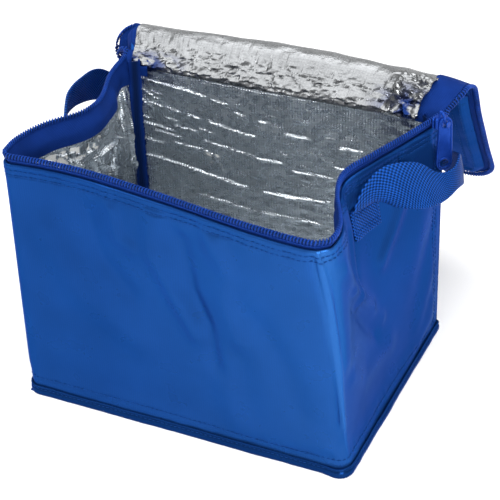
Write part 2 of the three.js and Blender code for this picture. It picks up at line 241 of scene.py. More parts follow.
def cut_corner(run, height):
    """The walls with the long flat facet that opens up the front right corner towards the rim."""
    opening = np.clip((height - FACET_FOOT) / (HEIGHT - FACET_FOOT), 0, 1)
    start, end = FRONT_END + 4 - 10 * opening, FRONT_END + 8 + 12 * opening
    t = np.clip((run - start) / (end - start), 0, 1)[..., None]
    chord = bare_wall(start, height) * (1 - t) + bare_wall(end, height) * t
    flat = FACET_FLATNESS * (1 - smooth(height, HEIGHT - 30, HEIGHT - 6))
    flat = (flat * (run > start) * (1 - smooth(t[..., 0], 0.4, 1)))[..., None]
    cut = bare_wall(run, height) * (1 - flat) + chord * flat
    rounding = 3.2 * smooth(height, 120, HEIGHT - 6) * np.exp(-((run - FRONT_END + 1) / 9) ** 2)
    return cut + rounding[..., None] * np.array([-0.7, 0.7, 0])


# Soft folds of the fabric: ridge height, half width, and the points in run and height
WALL_FOLDS = [
    (0.5, 2.6, [(375.5, 158), (379, 135), (383, 105), (384.5, 70), (384, 35)]),
    (-0.5, 3.0, [(369, 156), (373, 133), (377, 103), (379, 68), (380, 40)]),
    (0.8, 11.0, [(402, 153), (400, 120), (396, 80)]),
    (0.9, 7.0, [(265, 150), (259, 127), (270, 106), (286, 78)]),
    (-0.9, 6.0, [(281, 140), (284, 108), (294, 86), (297, 58)]),
    (0.8, 8.0, [(305, 146), (313, 128), (309, 108), (316, 84)]),
    (0.6, 5.0, [(234, 146), (236, 128), (247, 124)]),
    (-0.6, 7.0, [(215, 140), (222, 112), (240, 92)]),
    (0.7, 12.0, [(185, 120), (205, 84), (245, 60)]),
    (-0.6, 10.0, [(330, 100), (345, 74), (352, 44)]),
    (1.0, 4.0, [(437, 158), (442, 139), (430, 118), (424, 100)]),
    (-0.7, 5.0, [(448, 150), (450, 128), (441, 104)]),
    (0.8, 5.0, [(472, 96), (487, 110), (501, 128), (508, 146)]),
    (0.7, 4.0, [(412, 116), (424, 103), (440, 84), (462, 62)]),
    (-0.6, 4.5, [(410, 106), (421, 94), (434, 78), (452, 56)]),
    (0.7, 5.0, [(398, 140), (420, 113), (452, 78)]),
    (0.6, 8.0, [(404, 60), (424, 44), (466, 40)]),
    (0.9, 8.0, [(18, 150), (30, 120), (28, 80)]),
    (-0.9, 9.0, [(45, 150), (60, 120), (64, 84)]),
    (0.9, 10.0, [(118, 140), (104, 110), (110, 70)]),
]

# The cloth simulation: its grid and limit in millimetres, and the share that the cloth is larger
CLOTH_STEP = 6
CLOTH_FRAMES = 24
CLOTH_SPARE = 0.006
CLOTH_LIMIT = 2.4


def cloth_slack(runs, heights):
    """How far a slightly slack fabric, held at its hem, rim and rear seams, moves off the walls."""
    run, height = grid(runs, heights)
    rest = cut_corner(run, height)
    rest += direction(rest) * (0.8 * np.sin(run / 17) * np.sin(height / 23))[..., None]
    cloth = bpy.data.meshes.new("slack")
    rows, columns = run.shape
    cloth.from_pydata((rest.reshape(-1, 3) * MM).tolist(), [], grid_faces(rows, columns).tolist())
    held = add_object("slack", cloth)
    index = np.arange(rows * columns).reshape(rows, columns)
    edge = np.concatenate([index[0], index[-1], index[:, 0], index[:, -1]])
    pins = held.vertex_groups.new(name="pins")
    pins.add(np.unique(edge).tolist(), 1.0, "REPLACE")
    modifier = held.modifiers.new("Cloth", "CLOTH")
    settings = modifier.settings
    settings.quality = 6
    settings.mass = 0.25
    settings.tension_stiffness = settings.compression_stiffness = 30
    settings.bending_stiffness = 1.5
    settings.shrink_min = settings.shrink_max = -CLOTH_SPARE
    settings.vertex_group_mass = "pins"
    modifier.collision_settings.use_self_collision = False
    modifier.point_cache.frame_start, modifier.point_cache.frame_end = 1, CLOTH_FRAMES
    for step in range(1, CLOTH_FRAMES + 1):
        bpy.context.scene.frame_set(step)
    points, _ = read_shape(held)
    bpy.data.objects.remove(held)
    bpy.data.meshes.remove(cloth)
    bpy.context.scene.frame_set(1)
    points = points.reshape(rows, columns, 3) / MM
    offset = ((points - cut_corner(run, height)) * direction(rest)).sum(-1)
    return CLOTH_LIMIT * np.tanh(offset / CLOTH_LIMIT)


def direction(points):
    """Outward directions of a grid of wall points."""
    along, up = np.gradient(points, axis=0), np.gradient(points, axis=1)
    return unit(np.cross(along, up))


def grid_faces(rows, columns):
    """The four-sided faces of a grid of points."""
    index = np.arange(rows * columns).reshape(rows, columns)
    corners = [index[:-1, :-1], index[1:, :-1], index[1:, 1:], index[:-1, 1:]]
    return np.stack(corners, -1).reshape(-1, 4)


def sample(table, u, v):
    """Bilinear reading of a table of values with one row or column for each millimetre."""
    u = np.clip(u, 0, table.shape[0] - 1.001)
    v = np.clip(v, 0, table.shape[1] - 1.001)
    iu, iv = u.astype(int), v.astype(int)
    fu, fv = u - iu, v - iv
    if table.ndim == 3:
        fu, fv = fu[..., None], fv[..., None]
    near = table[iu, iv] * (1 - fu) + table[iu + 1, iv] * fu
    far = table[iu, iv + 1] * (1 - fu) + table[iu + 1, iv + 1] * fu
    return near * (1 - fv) + far * fv


def wall_tables():
    """Points and outward directions of the finished walls, for every millimetre of run and height."""
    runs, heights = np.arange(RUN_END + 1.0), np.arange(HEIGHT + 1.0)
    run, height = grid(runs, heights)
    coarse_runs = np.linspace(0, RUN_END, round(RUN_END / CLOTH_STEP) + 1)
    coarse_heights = np.linspace(0, HEIGHT, round(HEIGHT / CLOTH_STEP) + 1)
    slack = cloth_slack(coarse_runs, coarse_heights)
    fine = sample(slack, run * (len(coarse_runs) - 1) / RUN_END, height * (len(coarse_heights) - 1) / HEIGHT)
    for _ in range(5):
        fine[1:-1] = (fine[:-2] + 2 * fine[1:-1] + fine[2:]) / 4
        fine[:, 1:-1] = (fine[:, :-2] + 2 * fine[:, 1:-1] + fine[:, 2:]) / 4
    folds = ridges(run, height, WALL_FOLDS)
    held = window(height, 5, 22, HEIGHT - 14, HEIGHT - 4) * window(run, 3, 14, RUN_END - 14, RUN_END - 3)
    base = cut_corner(run, height)
    points = base + direction(base) * ((fine + 2.8 * folds) * held)[..., None]
    return points, direction(points)


WALL, WALL_OUT = wall_tables()


def wall(run, height, inset):
    """Points of the walls, set in from their outer surface."""
    run, height, inset = np.broadcast_arrays(run, height, inset)
    return sample(WALL, run, height) - sample(WALL_OUT, run, height) * inset[..., None]


# ---- Meshes ---------------------------------------------------------------------------

SHARP = math.radians(50)


def make(name, points, faces, material, uv, sharp):
    """Mesh object from points and their own measure, both in millimetres."""
    mesh = bpy.data.meshes.new(name)
    mesh.vertices.add(len(points))
    mesh.vertices.foreach_set("co", (np.asarray(points) * MM).astype(np.float32).ravel())
    sizes = np.array([len(face) for face in faces])
    loops = np.concatenate(list(faces))
    mesh.loops.add(len(loops))
    mesh.loops.foreach_set("vertex_index", loops.astype(np.int32))
    mesh.polygons.add(len(sizes))
    mesh.polygons.foreach_set("loop_start", np.concatenate([[0], np.cumsum(sizes)[:-1]]).astype(np.int32))
    if uv is not None:
        layer = mesh.uv_layers.new(name="UVMap")
        layer.data.foreach_set("uv", (np.asarray(uv)[loops] * MM).astype(np.float32).ravel())
    mesh.update(calc_edges=True)
    mesh.validate()
    mesh.shade_smooth()
    if sharp:
        mesh.set_sharp_from_angle(angle=sharp)
    mesh.materials.append(material)
    return add_object(name, mesh)


def slab(name, front, back, u, v, material, sharp=SHARP):
    """Closed sheet between two grids of points; u and v are its own measure, in millimetres."""
    rows, columns = front.shape[:2]
    count = rows * columns
    faces = grid_faces(rows, columns)
    index = np.arange(count).reshape(rows, columns)
    rims = []
    for edge, turned in ((index[:, 0], False), (index[:, -1], True), (index[0], True), (index[-1], False)):
        a, b = (edge[1:], edge[:-1]) if turned else (edge[:-1], edge[1:])
        rims.append(np.stack([a, a + count, b + count, b], -1))
    every = np.concatenate([faces, faces[:, ::-1] + count, *rims])
    points = np.concatenate([front.reshape(-1, 3), back.reshape(-1, 3)])
    grid_u, grid_v = np.broadcast_arrays(u, v)
    flat = np.stack([grid_u.ravel(), grid_v.ravel()], -1)
    return make(name, points, every, material, np.concatenate([flat, flat]), sharp)


def spaced(stops, steps):
    """Positions between stops, with a step size for each stretch."""
    parts = [np.arange(round((b - a) / step)) * (b - a) / round((b - a) / step) + a
             for a, b, step in zip(stops, stops[1:], steps)]
    return np.concatenate([*parts, [stops[-1]]])


def rod_faces(rings, sides):
    """Faces along a rod, and its first and last ring as caps."""
    index = np.arange(rings * sides).reshape(rings, sides)
    turned = np.roll(index, -1, axis=1)
    quads = np.stack([index[:-1], turned[:-1], turned[1:], index[1:]], -1).reshape(-1, 4)
    return quads, index[0][::-1], index[-1]


def rod(name, centres, side, over, radius, material, sides):
    """Closed round rod along centres; side and over are the directions of its section."""
    turn = np.arange(sides) * 2 * math.pi / sides
    radius = np.broadcast_to(radius, len(centres))[:, None, None]
    ring = side[:, None] * np.cos(turn)[None, :, None] + over[:, None] * np.sin(turn)[None, :, None]
    points = (centres[:, None] + ring * radius).reshape(-1, 3)
    quads, first, last = rod_faces(len(centres), sides)
    reach = np.repeat(np.arange(len(centres)), sides)
    uv = np.stack([reach, np.tile(turn, len(centres))], -1)
    return make(name, points, [*quads.tolist(), first.tolist(), last.tolist()], material, uv, None)


def rod_along(name, path, radius, material, sides):
    """Round rod along a path of its own."""
    ahead = unit(np.gradient(path, axis=0))
    side = unit(np.cross(ahead, [0.31, 0.17, 0.93]))
    return rod(name, path, side, np.cross(ahead, side), radius, material, sides)


# A stitch: places along it, with its thickness and its rise from the cloth at each
STITCH_RADIUS = 0.24
STITCH_SIDES = 6
STITCH_STEPS = np.array([0, 0.2, 0.5, 0.8, 1])
STITCH_SWELL = np.array([0.35, 1, 1.05, 1, 0.35])
STITCH_LIFT = np.array([-0.22, 0.05, 0.16, 0.05, -0.22])


def stitches(name, path, out, material, pitch=3.3, length=2.5):
    """A row of sewn stitches: path and out are points on the cloth and its outward directions."""
    reach = reach_of(path)
    count = int(reach[-1] / pitch)
    starts = (np.arange(count) + 0.15) * pitch + rng.uniform(-0.12, 0.12, count)
    where = starts[:, None] + STITCH_STEPS * length
    points = read_along(where, reach, path)
    normals = unit(read_along(where, reach, out))
    side = unit(np.cross(normals, unit(np.gradient(points, axis=1))))
    points = points + normals * (STITCH_LIFT + STITCH_RADIUS)[None, :, None]
    turn = np.arange(STITCH_SIDES) * 2 * math.pi / STITCH_SIDES
    ring = side[:, :, None] * np.cos(turn)[:, None] + normals[:, :, None] * np.sin(turn)[:, None]
    vertices = points[:, :, None] + ring * (STITCH_RADIUS * STITCH_SWELL)[None, :, None, None]
    quads, first, last = rod_faces(len(STITCH_STEPS), STITCH_SIDES)
    caps = [first[:4], first[[0, 3, 4, 5]], last[:4], last[[0, 3, 4, 5]]]
    one = np.concatenate([quads, caps])
    each = np.arange(count) * len(STITCH_STEPS) * STITCH_SIDES
    every = (one[None] + each[:, None, None]).reshape(-1, 4)
    return make(name, vertices.reshape(-1, 3), every, material, None, None)


# The coil: half its thickness and half its width, the radius of its wire, points in each turn
COIL_PITCH = 2.0
COIL_HALF = [0.95, 1.55]
COIL_WIRE = 0.52
COIL_SAMPLES = 10


def coil(name, path, out):
    """Zip coil: a flattened spiral of nylon wire round a path; out is the face side of the zip."""
    reach = reach_of(path)
    where = np.arange(0, reach[-1], COIL_PITCH / COIL_SAMPLES)
    centre = read_along(where, reach, path)
    face = unit(read_along(where, reach, out))
    ahead = unit(np.gradient(centre, axis=0))
    up = unit(np.cross(face, ahead))
    turn = where / COIL_PITCH * 2 * math.pi
    spoke = face * (COIL_HALF[0] * np.cos(turn))[:, None] + up * (COIL_HALF[1] * np.sin(turn))[:, None]
    wire = centre + spoke
    run = unit(np.gradient(wire, axis=0))
    side = unit(np.cross(run, ahead))
    spiral = rod(name, wire, side, np.cross(run, side), COIL_WIRE, COIL, 5)
    # The core's dark navy, seen between the turns, is painted shade inside the spiral.
    core = rod(name + "_core", centre[::5], face[::5], up[::5], 0.9, COIL_CORE, 8)
    return spiral, core


# ---- Materials ------------------------------------------------------------------------

class Finish:
    """A procedural material. Its methods make nodes and give their outputs; lengths are in millimetres."""

    def __init__(self, name):
        self.material = bpy.data.materials.new(name)
        self.material.use_nodes = True
        self.nodes = self.material.node_tree.nodes
        self.links = self.material.node_tree.links
        self.shader = self.nodes["Principled BSDF"]

    def put(self, socket, value):
        if isinstance(value, bpy.types.NodeSocket):
            self.links.new(value, socket)
        else:
            socket.default_value = value

    def node(self, kind, inputs, **settings):
        """A node with its settings and its inputs, which are values or the outputs of other nodes."""
        made = self.nodes.new(kind)
        for name, value in settings.items():
            setattr(made, name, value)
        for name, value in inputs.items():
            self.put(made.inputs[name], value)
        return made.outputs

    def where(self, output):
        """In millimetres: the piece's own measure, output UV, or its place in space, output Object."""
        metres = self.node("ShaderNodeTexCoord", {})[output]
        return self.node("ShaderNodeVectorMath", {0: metres, "Scale": 1 / MM}, operation="SCALE")[0]

    def split(self, vector):
        return self.node("ShaderNodeSeparateXYZ", {0: vector})

    def math(self, operation, *values):
        return self.node("ShaderNodeMath", dict(enumerate(values)), operation=operation)[0]

    def times(self, a, b):
        return self.math("MULTIPLY", a, b)

    def plus(self, a, b):
        return self.math("ADD", a, b)

    def stretch(self, vector, factors):
        return self.node("ShaderNodeVectorMath", {0: vector, 1: factors}, operation="MULTIPLY")[0]

    def noise(self, vector, cell, detail, roughness=0.5):
        inputs = {"Vector": vector, "Scale": 1 / cell, "Detail": detail, "Roughness": roughness}
        return self.node("ShaderNodeTexNoise", inputs)["Fac"]

    def cells(self, vector, cell):
        inputs = {"Vector": vector, "Scale": 1 / cell}
        return self.node("ShaderNodeTexVoronoi", inputs, feature="F1")["Distance"]

    def wave(self, value, pitch):
        """0 to 1 and back over each pitch."""
        turned = self.math("COSINE", self.times(value, 2 * math.pi / pitch))
        return self.math("MULTIPLY_ADD", turned, 0.5, 0.5)

    def remap(self, value, start, end, to_low=0.0, to_high=1.0):
        inputs = {"Value": value, "From Min": start, "From Max": end, "To Min": to_low, "To Max": to_high}
        return self.node("ShaderNodeMapRange", inputs, clamp=True)["Result"]

    def mix(self, factor, a, b):
        return self.node("ShaderNodeMix", {"Factor": factor, 6: a, 7: b}, data_type="RGBA")[2]

    def tones(self, value, start, end, color, dark, light):
        """From a darker to a lighter shade of a colour as the value goes from start to end."""
        return self.mix(self.remap(value, start, end), shade(color, dark), shade(color, light))

    def bump(self, height, distance, strength, base=None):
        """Relief of a distance in millimetres, on top of a base relief where there is one."""
        inputs = {"Strength": strength, "Distance": distance * MM, "Height": height}
        if base is not None:
            inputs["Normal"] = base
        return self.node("ShaderNodeBump", inputs)["Normal"]

    def finish(self, color, roughness, **sockets):
        sockets.update(Base_Color=color, Roughness=roughness)
        for name, value in sockets.items():
            self.put(self.shader.inputs[name.replace("_", " ")], value)
        return self.material

    def dyed(self, color, roughness, normal, metallic, specular):
        """A coloured coating or yarn, whose gloss keeps the colour of its dye."""
        return self.finish(color, roughness, Normal=normal, Metallic=metallic,
                           Specular_IOR_Level=specular, Specular_Tint=GLOSS_TINT)


def shade(color, factor):
    return (*[min(1.0, part * factor) for part in color], 1.0)


FABRIC_BLUE = (0.0070, 0.045, 0.195)
# Colour of the painted highlights on the coated fabric
PAINTED_HIGHLIGHT_BLUE = (0.019, 0.092, 0.31)
TAPE_BLUE = (0.006, 0.027, 0.165)
COIL_BLUE = (0.008, 0.036, 0.22)
WEB_BLUE = (0.007, 0.052, 0.255)
NAVY = (0.004, 0.013, 0.06)
PAINT_BLUE = (0.008, 0.04, 0.26)
FILM_GREY = (0.60, 0.645, 0.685)
# Colour of the painted reflections of the blue tapes in the film
TAPE_REFLECTION_BLUE = (0.008, 0.022, 0.1, 1)
# The lid's film: the same film darkened, painted shade against the strong light on the crest
SHADED_LID_FILM_GREY = (0.25, 0.257, 0.265)
FOAM_WHITE = (0.86, 0.86, 0.83)

# The tint of the gloss of dyed coatings and yarns, at low angles too
GLOSS_TINT = (0.17, 0.47, 1.0, 1.0)
WEAVE_PITCH = 2.3


def coated_fabric(name, depth, painted_corner_highlight):
    """Coated nylon: fine ribs under a satin coating; where asked, a painted highlight over the open front
    right corner and painted light growing across the front towards it.
    """
    f = Finish(name)
    own = f.where("UV")
    u, v, _ = f.split(own)
    ribs = f.times(f.wave(u, 1.5), f.math("MULTIPLY_ADD", f.wave(v, 1.1), 0.5, 0.5))
    cloud = f.noise(own, 46, 3)
    grain = f.noise(own, 0.9, 2)
    tone = f.plus(f.times(cloud, 0.6), f.times(ribs, 0.16))
    color = f.tones(tone, 0.2, 0.62, FABRIC_BLUE, 0.86 * depth, 1.18 * depth)
    if painted_corner_highlight:
        # Painted highlight: the colour turns lighter over the open corner's facet and along its ridge.
        opening = f.remap(v, 22, HEIGHT)
        start = f.math("MULTIPLY_ADD", opening, -10.0, FRONT_END + 4.0)
        across = f.math("DIVIDE", f.math("SUBTRACT", u, start), f.math("MULTIPLY_ADD", opening, 22.0, 4.0))
        shine = f.times(f.remap(across, -0.35, 0.05), f.remap(across, 1.05, 0.2))
        shine = f.times(shine, f.remap(v, 4, 34))
        color = f.mix(shine, color, shade(PAINTED_HIGHLIGHT_BLUE, 1.0))
        # Painted light: the front is mixed towards the highlight colour more and more towards its right
        # corner.
        front = f.remap(u, FRONT_START + 60, FRONT_END)
        broad = f.times(front, f.remap(u, FRONT_END + 30, FRONT_END))
        color = f.mix(f.times(broad, 0.34), color, shade(PAINTED_HIGHLIGHT_BLUE, 1.0))
    rough = f.remap(f.noise(own, 17, 3), 0.3, 0.7, 0.26, 0.34)
    relief = f.plus(f.times(ribs, 0.5), f.times(grain, 0.5))
    normal = f.bump(relief, 0.06, 0.6, f.bump(f.noise(own, 16, 1), 0.3, 0.5))
    return f.dyed(color, rough, normal, 0.5, 0.015)


def film(name, grey, scrim_height, painted_tape_reflections, painted_light_from=400):
    """Metallised film over a woven scrim. Its fourth argument lists the places in u and v where a painted
    reflection of the blue tapes is mixed into its colour; from the v of its last argument on, the colour is
    painted lighter, a painted highlight.
    """
    f = Finish(name)
    own = f.where("UV")
    u, v, _ = f.split(own)
    bent = f.plus(v, f.times(f.noise(own, 11, 2), 5.0))
    scrim = f.times(f.wave(u, 1.9), f.wave(bent, 1.7))
    dashes = f.noise(f.stretch(own, (0.55, 1.5, 1)), 1.5, 3, 0.65)
    patches = f.noise(own, 26, 3)
    color = f.tones(patches, 0.35, 0.65, grey, 0.82, 1.0)
    color = f.mix(f.times(f.remap(dashes, 0.4, 0.6), 0.3), color, shade(grey, 0.5))
    color = f.mix(f.times(scrim, 0.3), color, shade(grey, 1.25))
    # Painted highlight: from the given v on, the colour turns up to twice as light, where the crest top
    # catches the light.
    color = f.mix(f.remap(v, painted_light_from, painted_light_from + 12), color, shade(grey, 2.0))
    rough = f.remap(f.noise(own, 5, 3), 0.3, 0.7, 0.2, 0.34)
    # Painted reflection: the blue of the nearby tapes, broken up by noise, mixed into the film's colour.
    for u_start, u_end, v_start, v_end in painted_tape_reflections:
        near = f.times(f.remap(u, u_start, u_end), f.remap(v, v_start, v_end))
        broken = f.remap(f.noise(f.stretch(own, (0.5, 1, 1)), 5, 3), 0.44, 0.54)
        color = f.mix(f.times(near, broken), color, TAPE_REFLECTION_BLUE)
    relief = f.plus(f.times(scrim, scrim_height), f.times(dashes, 0.8))
    normal = f.bump(relief, 0.3, 0.8, f.bump(f.noise(f.stretch(own, (0.4, 1, 1)), 3.2, 4, 0.6), 0.5, 0.5))
    return f.finish(color, rough, Normal=normal, Metallic=1.0)


def woven_tape():
    """Narrow woven tape: fine slanted cords."""
    f = Finish("zip_tape")
    own = f.where("UV")
    u, v, _ = f.split(own)
    slant = f.plus(u, f.times(v, 0.8))
    cords = f.times(f.wave(slant, 1.0), 0.6)
    weave = f.times(f.wave(slant, 1.0), f.wave(v, 0.8))
    cloud = f.noise(own, 12, 3)
    tone = f.plus(f.times(weave, 0.5), f.times(cloud, 0.6))
    color = f.tones(tone, 0.15, 0.8, TAPE_BLUE, 0.72, 1.35)
    return f.dyed(color, 0.62, f.bump(f.plus(cords, weave), 0.16, 0.8), 0.25, 0.06)


def folded_binding():
    """Binding tape folded over a seam: bright edges, dark along the fold."""
    f = Finish("binding")
    own = f.where("UV")
    _, v, _ = f.split(own)
    fold = f.math("ABSOLUTE", f.math("SUBTRACT", v, 4.4))
    cords = f.wave(v, 0.9)
    color = f.mix(f.remap(fold, 0.7, 3.2), (*NAVY, 1), shade(TAPE_BLUE, 1.1))
    return f.dyed(color, 0.7, f.bump(cords, 0.12, 0.7), 0.2, 0.06)


def webbing():
    """Nylon webbing: raised yarns with fine strands along them; its colour is painted lighter on the raised
    yarns and darker in the gaps, painted highlight and painted shade.
    """
    f = Finish("webbing")
    own = f.where("UV")
    u, v, _ = f.split(own)
    plain = f.times(f.math("COSINE", f.times(u, 2 * math.pi / WEAVE_PITCH)),
                   f.math("COSINE", f.times(v, 2 * math.pi / WEAVE_PITCH)))
    strands = f.wave(f.plus(u, f.times(v, 0.3)), 0.33)
    cloud = f.noise(own, 15, 3)
    tone = f.plus(f.remap(plain, -0.75, 0.9), f.times(cloud, 0.35))
    # Painted light: lighter on the raised yarns, painted shade in the gaps between them.
    color = f.tones(tone, 0.25, 1.2, WEB_BLUE, 0.22, 1.75)
    normal = f.bump(strands, 0.05, 0.5, f.bump(plain, 0.35, 0.8))
    return f.dyed(color, 0.4, normal, 0.3, 0.12)


def thread(name, color):
    """Twisted sewing thread."""
    f = Finish(name)
    twist = f.noise(f.where("Object"), 0.5, 2)
    mixed = f.tones(twist, 0.3, 0.7, color, 0.7, 1.4)
    return f.dyed(mixed, 0.5, f.bump(twist, 0.08, 0.6), 0.25, 0.12)


def nylon(name, color):
    """Smooth nylon with a fine uneven gloss."""
    f = Finish(name)
    place = f.where("Object")
    cloud = f.noise(place, 8, 3)
    mixed = f.tones(cloud, 0.3, 0.7, color, 0.8, 1.25)
    rough = f.remap(f.noise(place, 1.2, 2), 0.3, 0.7, 0.28, 0.42)
    return f.dyed(mixed, rough, f.bump(f.noise(place, 0.6, 2), 0.04, 0.5), 0.3, 0.2)


def foam_sheet():
    """White closed-cell foam with fine cells."""
    f = Finish("foam")
    cells = f.cells(f.where("Object"), 0.8)
    color = f.tones(cells, 0.1, 0.7, FOAM_WHITE, 0.88, 1.05)
    return f.finish(color, 0.85, Normal=f.bump(cells, 0.15, 0.7))


def slider_paint():
    """Satin paint over die-cast metal, rubbed thin in places, with faint casting grain."""
    f = Finish("slider_paint")
    place = f.where("Object")
    worn = f.remap(f.noise(place, 3, 4, 0.65), 0.56, 0.74)
    color = f.mix(f.times(worn, 0.35), shade(PAINT_BLUE, 1.0), shade(PAINT_BLUE, 1.7))
    rough = f.remap(f.noise(place, 1.5, 3), 0.3, 0.7, 0.26, 0.4)
    return f.dyed(color, rough, f.bump(f.noise(place, 0.7, 3), 0.05, 0.5), 0.3, 0.3)


def floor_paint():
    f = Finish("floor")
    color = f.mix(f.noise(f.where("Object"), 300, 2), (0.93, 0.93, 0.93, 1), (0.95, 0.95, 0.95, 1))
    return f.finish(color, 0.9, Specular_IOR_Level=0.1)


CLOTH = coated_fabric("coated_fabric", 1.0, False)
# The wrap's fabric carries a painted highlight at the open corner and painted light across the front.
WRAP_CLOTH = coated_fabric("wrap_fabric", 0.95, True)
WELT = coated_fabric("welt_fabric", 0.55, False)
FILM = film("metal_film", FILM_GREY, 1.0, [])
# The rear film and the lid's film carry painted reflections of the blue tapes at the places listed.
REAR_FILM = film("rear_metal_film", FILM_GREY, 1.0, [(55, 95, 118, 150), (-60, -92, 146, 156)])
# The lid's film is darkened as painted shade and painted lighter from station 12 on the crest.
LID_FILM = film("lid_metal_film", SHADED_LID_FILM_GREY, 0.25, [(58, 84, 12, 0), (-62, -90, 4, -4)], 12)
TAPE = woven_tape()
BINDING = folded_binding()
WEB = webbing()
THREAD = thread("thread", FABRIC_BLUE)
TAPE_THREAD = thread("tape_thread", COIL_BLUE)
WEB_THREAD = thread("web_thread", WEB_BLUE)
COIL = nylon("coil_nylon", COIL_BLUE)
# Dark navy of the coil core: painted shade inside the coil.
COIL_CORE = nylon("coil_core", NAVY)
FOAM_WHITE_SHEET = foam_sheet()
PAINT = slider_paint()


# ---- Camera, lights and floor -----------------------------------------------------------

CAMERA_PLACE = (0.381, -0.753, 0.660)
CAMERA_AZIMUTH = math.radians(26.05)
CAMERA_ELEVATION = math.radians(34.23)
CAMERA_ROLL = math.radians(-2.44)
CAMERA_LENS = 117.2


def add_camera():
    camera = bpy.data.cameras.new("camera")
    camera.lens = CAMERA_LENS
    camera.sensor_width = 36
    camera.clip_start, camera.clip_end = 0.05, 20
    holder = add_object("camera", camera)
    back = Vector((math.sin(CAMERA_AZIMUTH) * math.cos(CAMERA_ELEVATION),
                   -math.cos(CAMERA_AZIMUTH) * math.cos(CAMERA_ELEVATION),
                   math.sin(CAMERA_ELEVATION)))
    right = (-back).cross(Vector((0, 0, 1))).normalized()
    up = right.cross(-back)
    turned_right = right * math.cos(CAMERA_ROLL) + up * math.sin(CAMERA_ROLL)
    turned_up = up * math.cos(CAMERA_ROLL) - right * math.sin(CAMERA_ROLL)
    holder.matrix_world = Matrix((
        (turned_right.x, turned_up.x, back.x, CAMERA_PLACE[0]),
        (turned_right.y, turned_up.y, back.y, CAMERA_PLACE[1]),
        (turned_right.z, turned_up.z, back.z, CAMERA_PLACE[2]),
        (0, 0, 0, 1),
    ))
    bpy.context.scene.camera = holder


def add_light(name, place, target, size, power):
    light = bpy.data.lights.new(name, "AREA")
    light.shape = "RECTANGLE"
    light.size, light.size_y = size
    light.energy = power
    holder = add_object(name, light)
    holder.location = place
    holder.rotation_euler = (Vector(target) - Vector(place)).to_track_quat("-Z", "Y").to_euler()


def add_studio():
    world = bpy.data.worlds.new("studio")
    world.use_nodes = True
    sky = world.node_tree.nodes["Background"].inputs
    sky["Color"].default_value = (1, 1, 1, 1)
    sky["Strength"].default_value = 0.5
    bpy.context.scene.world = world
    middle = (0, 0.02, 0.1)
    add_light("overhead", (-0.3, -0.2, 1.7), (-0.3, -0.2, 0), (2.4, 2.4), 46)
    add_light("key", (-0.9, -0.75, 0.75), middle, (0.5, 0.5), 4)
    add_light("fill", (0.62, -0.72, 0.45), (0.06, 0, 0.1), (0.4, 0.4), 7)
    add_light("rear", (0.9, 0.9, 0.7), middle, (0.8, 0.8), 6)
    half = 6000
    steps = np.linspace(-half, half, 25)
    floor_x, floor_y = grid(steps, steps)
    points = np.stack([floor_x, floor_y, 0 * floor_x], -1).reshape(-1, 3)
    floor = make("floor", points, grid_faces(25, 25), floor_paint(), None, None)
    bpy.context.scene.view_settings.view_transform = "Standard"


add_camera()
add_studio()


# ---- Body: outer fabric ----------------------------------------------------------------

def attach(piece, body, slot, *nodes):
    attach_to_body(piece, body)
    if nodes:
        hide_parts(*nodes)
    return piece


def attach_coil(pieces, body, *nodes):
    spiral, core = pieces
    attach(spiral, body, "zip_coil", *nodes)
    attach(core, body, "zip_coil")


TOPSTITCH = [FABRIC_TOP - 4.2, FABRIC_TOP - 7.6]
REAR_SEAM = [6.5, 9.5]
FOOT_SEAM = HEM_TOP + 5.5


def seam_pucker(along_seam, across, seed):
    """The groove and small puckers that a row of stitches pulls into the cloth."""
    groove = -0.28 * np.exp(-(across / 0.8) ** 2)
    pucker = 0.22 * noise(along_seam / 3.4, across / 7, seed) * np.exp(-(across / 3.5) ** 2)
    return groove + pucker


def top_fold(height):
    """1 where the top edge of the outer fabric is folded double."""
    return smooth(height, FABRIC_TOP - 5, FABRIC_TOP - 3.4)


def wrap_detail(run, height):
    """How far the outer face stands out at its seams and its folded top edge."""
    proud = 0.3 * top_fold(height)
    proud -= 0.55 * smooth(height, FABRIC_TOP - 0.9, FABRIC_TOP)
    for row in [*TOPSTITCH, FOOT_SEAM]:
        proud += seam_pucker(run, height - row, 21)
    for margin in REAR_SEAM:
        proud += seam_pucker(height, run - margin, 22) + seam_pucker(height, RUN_END - margin - run, 23)
    proud += 0.25 * noise(run / 9, height / 5, 24) * (1 - smooth(height, 10, 26))
    return proud


def add_wrap():
    stops = [1.2, 14, FRONT_END - 24, FRONT_END + 18, RUN_END - 14, RUN_END - 1.2]
    runs = spaced(stops, [0.9, 1.7, 0.8, 1.7, 0.9])
    heights = spaced([low("outer_wrap", Z), 16, FABRIC_TOP - 14, FABRIC_TOP], [1.3, 2.6, 0.7])
    run, height = grid(runs, heights)
    outer, inner = -wrap_detail(run, height), FABRIC + 0.7 * top_fold(height)
    wrap = wall_slab("outer_wrap_cloth", run, height, outer, inner, WRAP_CLOTH)
    attach(wrap, "body", "outer_fabric", "outer_wrap")


def wall_slab(name, run, height, outer, inner, material):
    """A layer of the walls between two insets."""
    return slab(name, wall(run, height, outer), wall(run, height, inner), run, height, material)


def wall_seam(name, runs, heights, material, proud, pitch=3.3):
    """A row of stitches on the walls, standing proud of their outer surface."""
    run, height = np.broadcast_arrays(np.asarray(runs, float), np.asarray(heights, float))
    attach(stitches(name, wall(run, height, -proud), sample(WALL_OUT, run, height), material, pitch),
           "body", "outer_fabric")


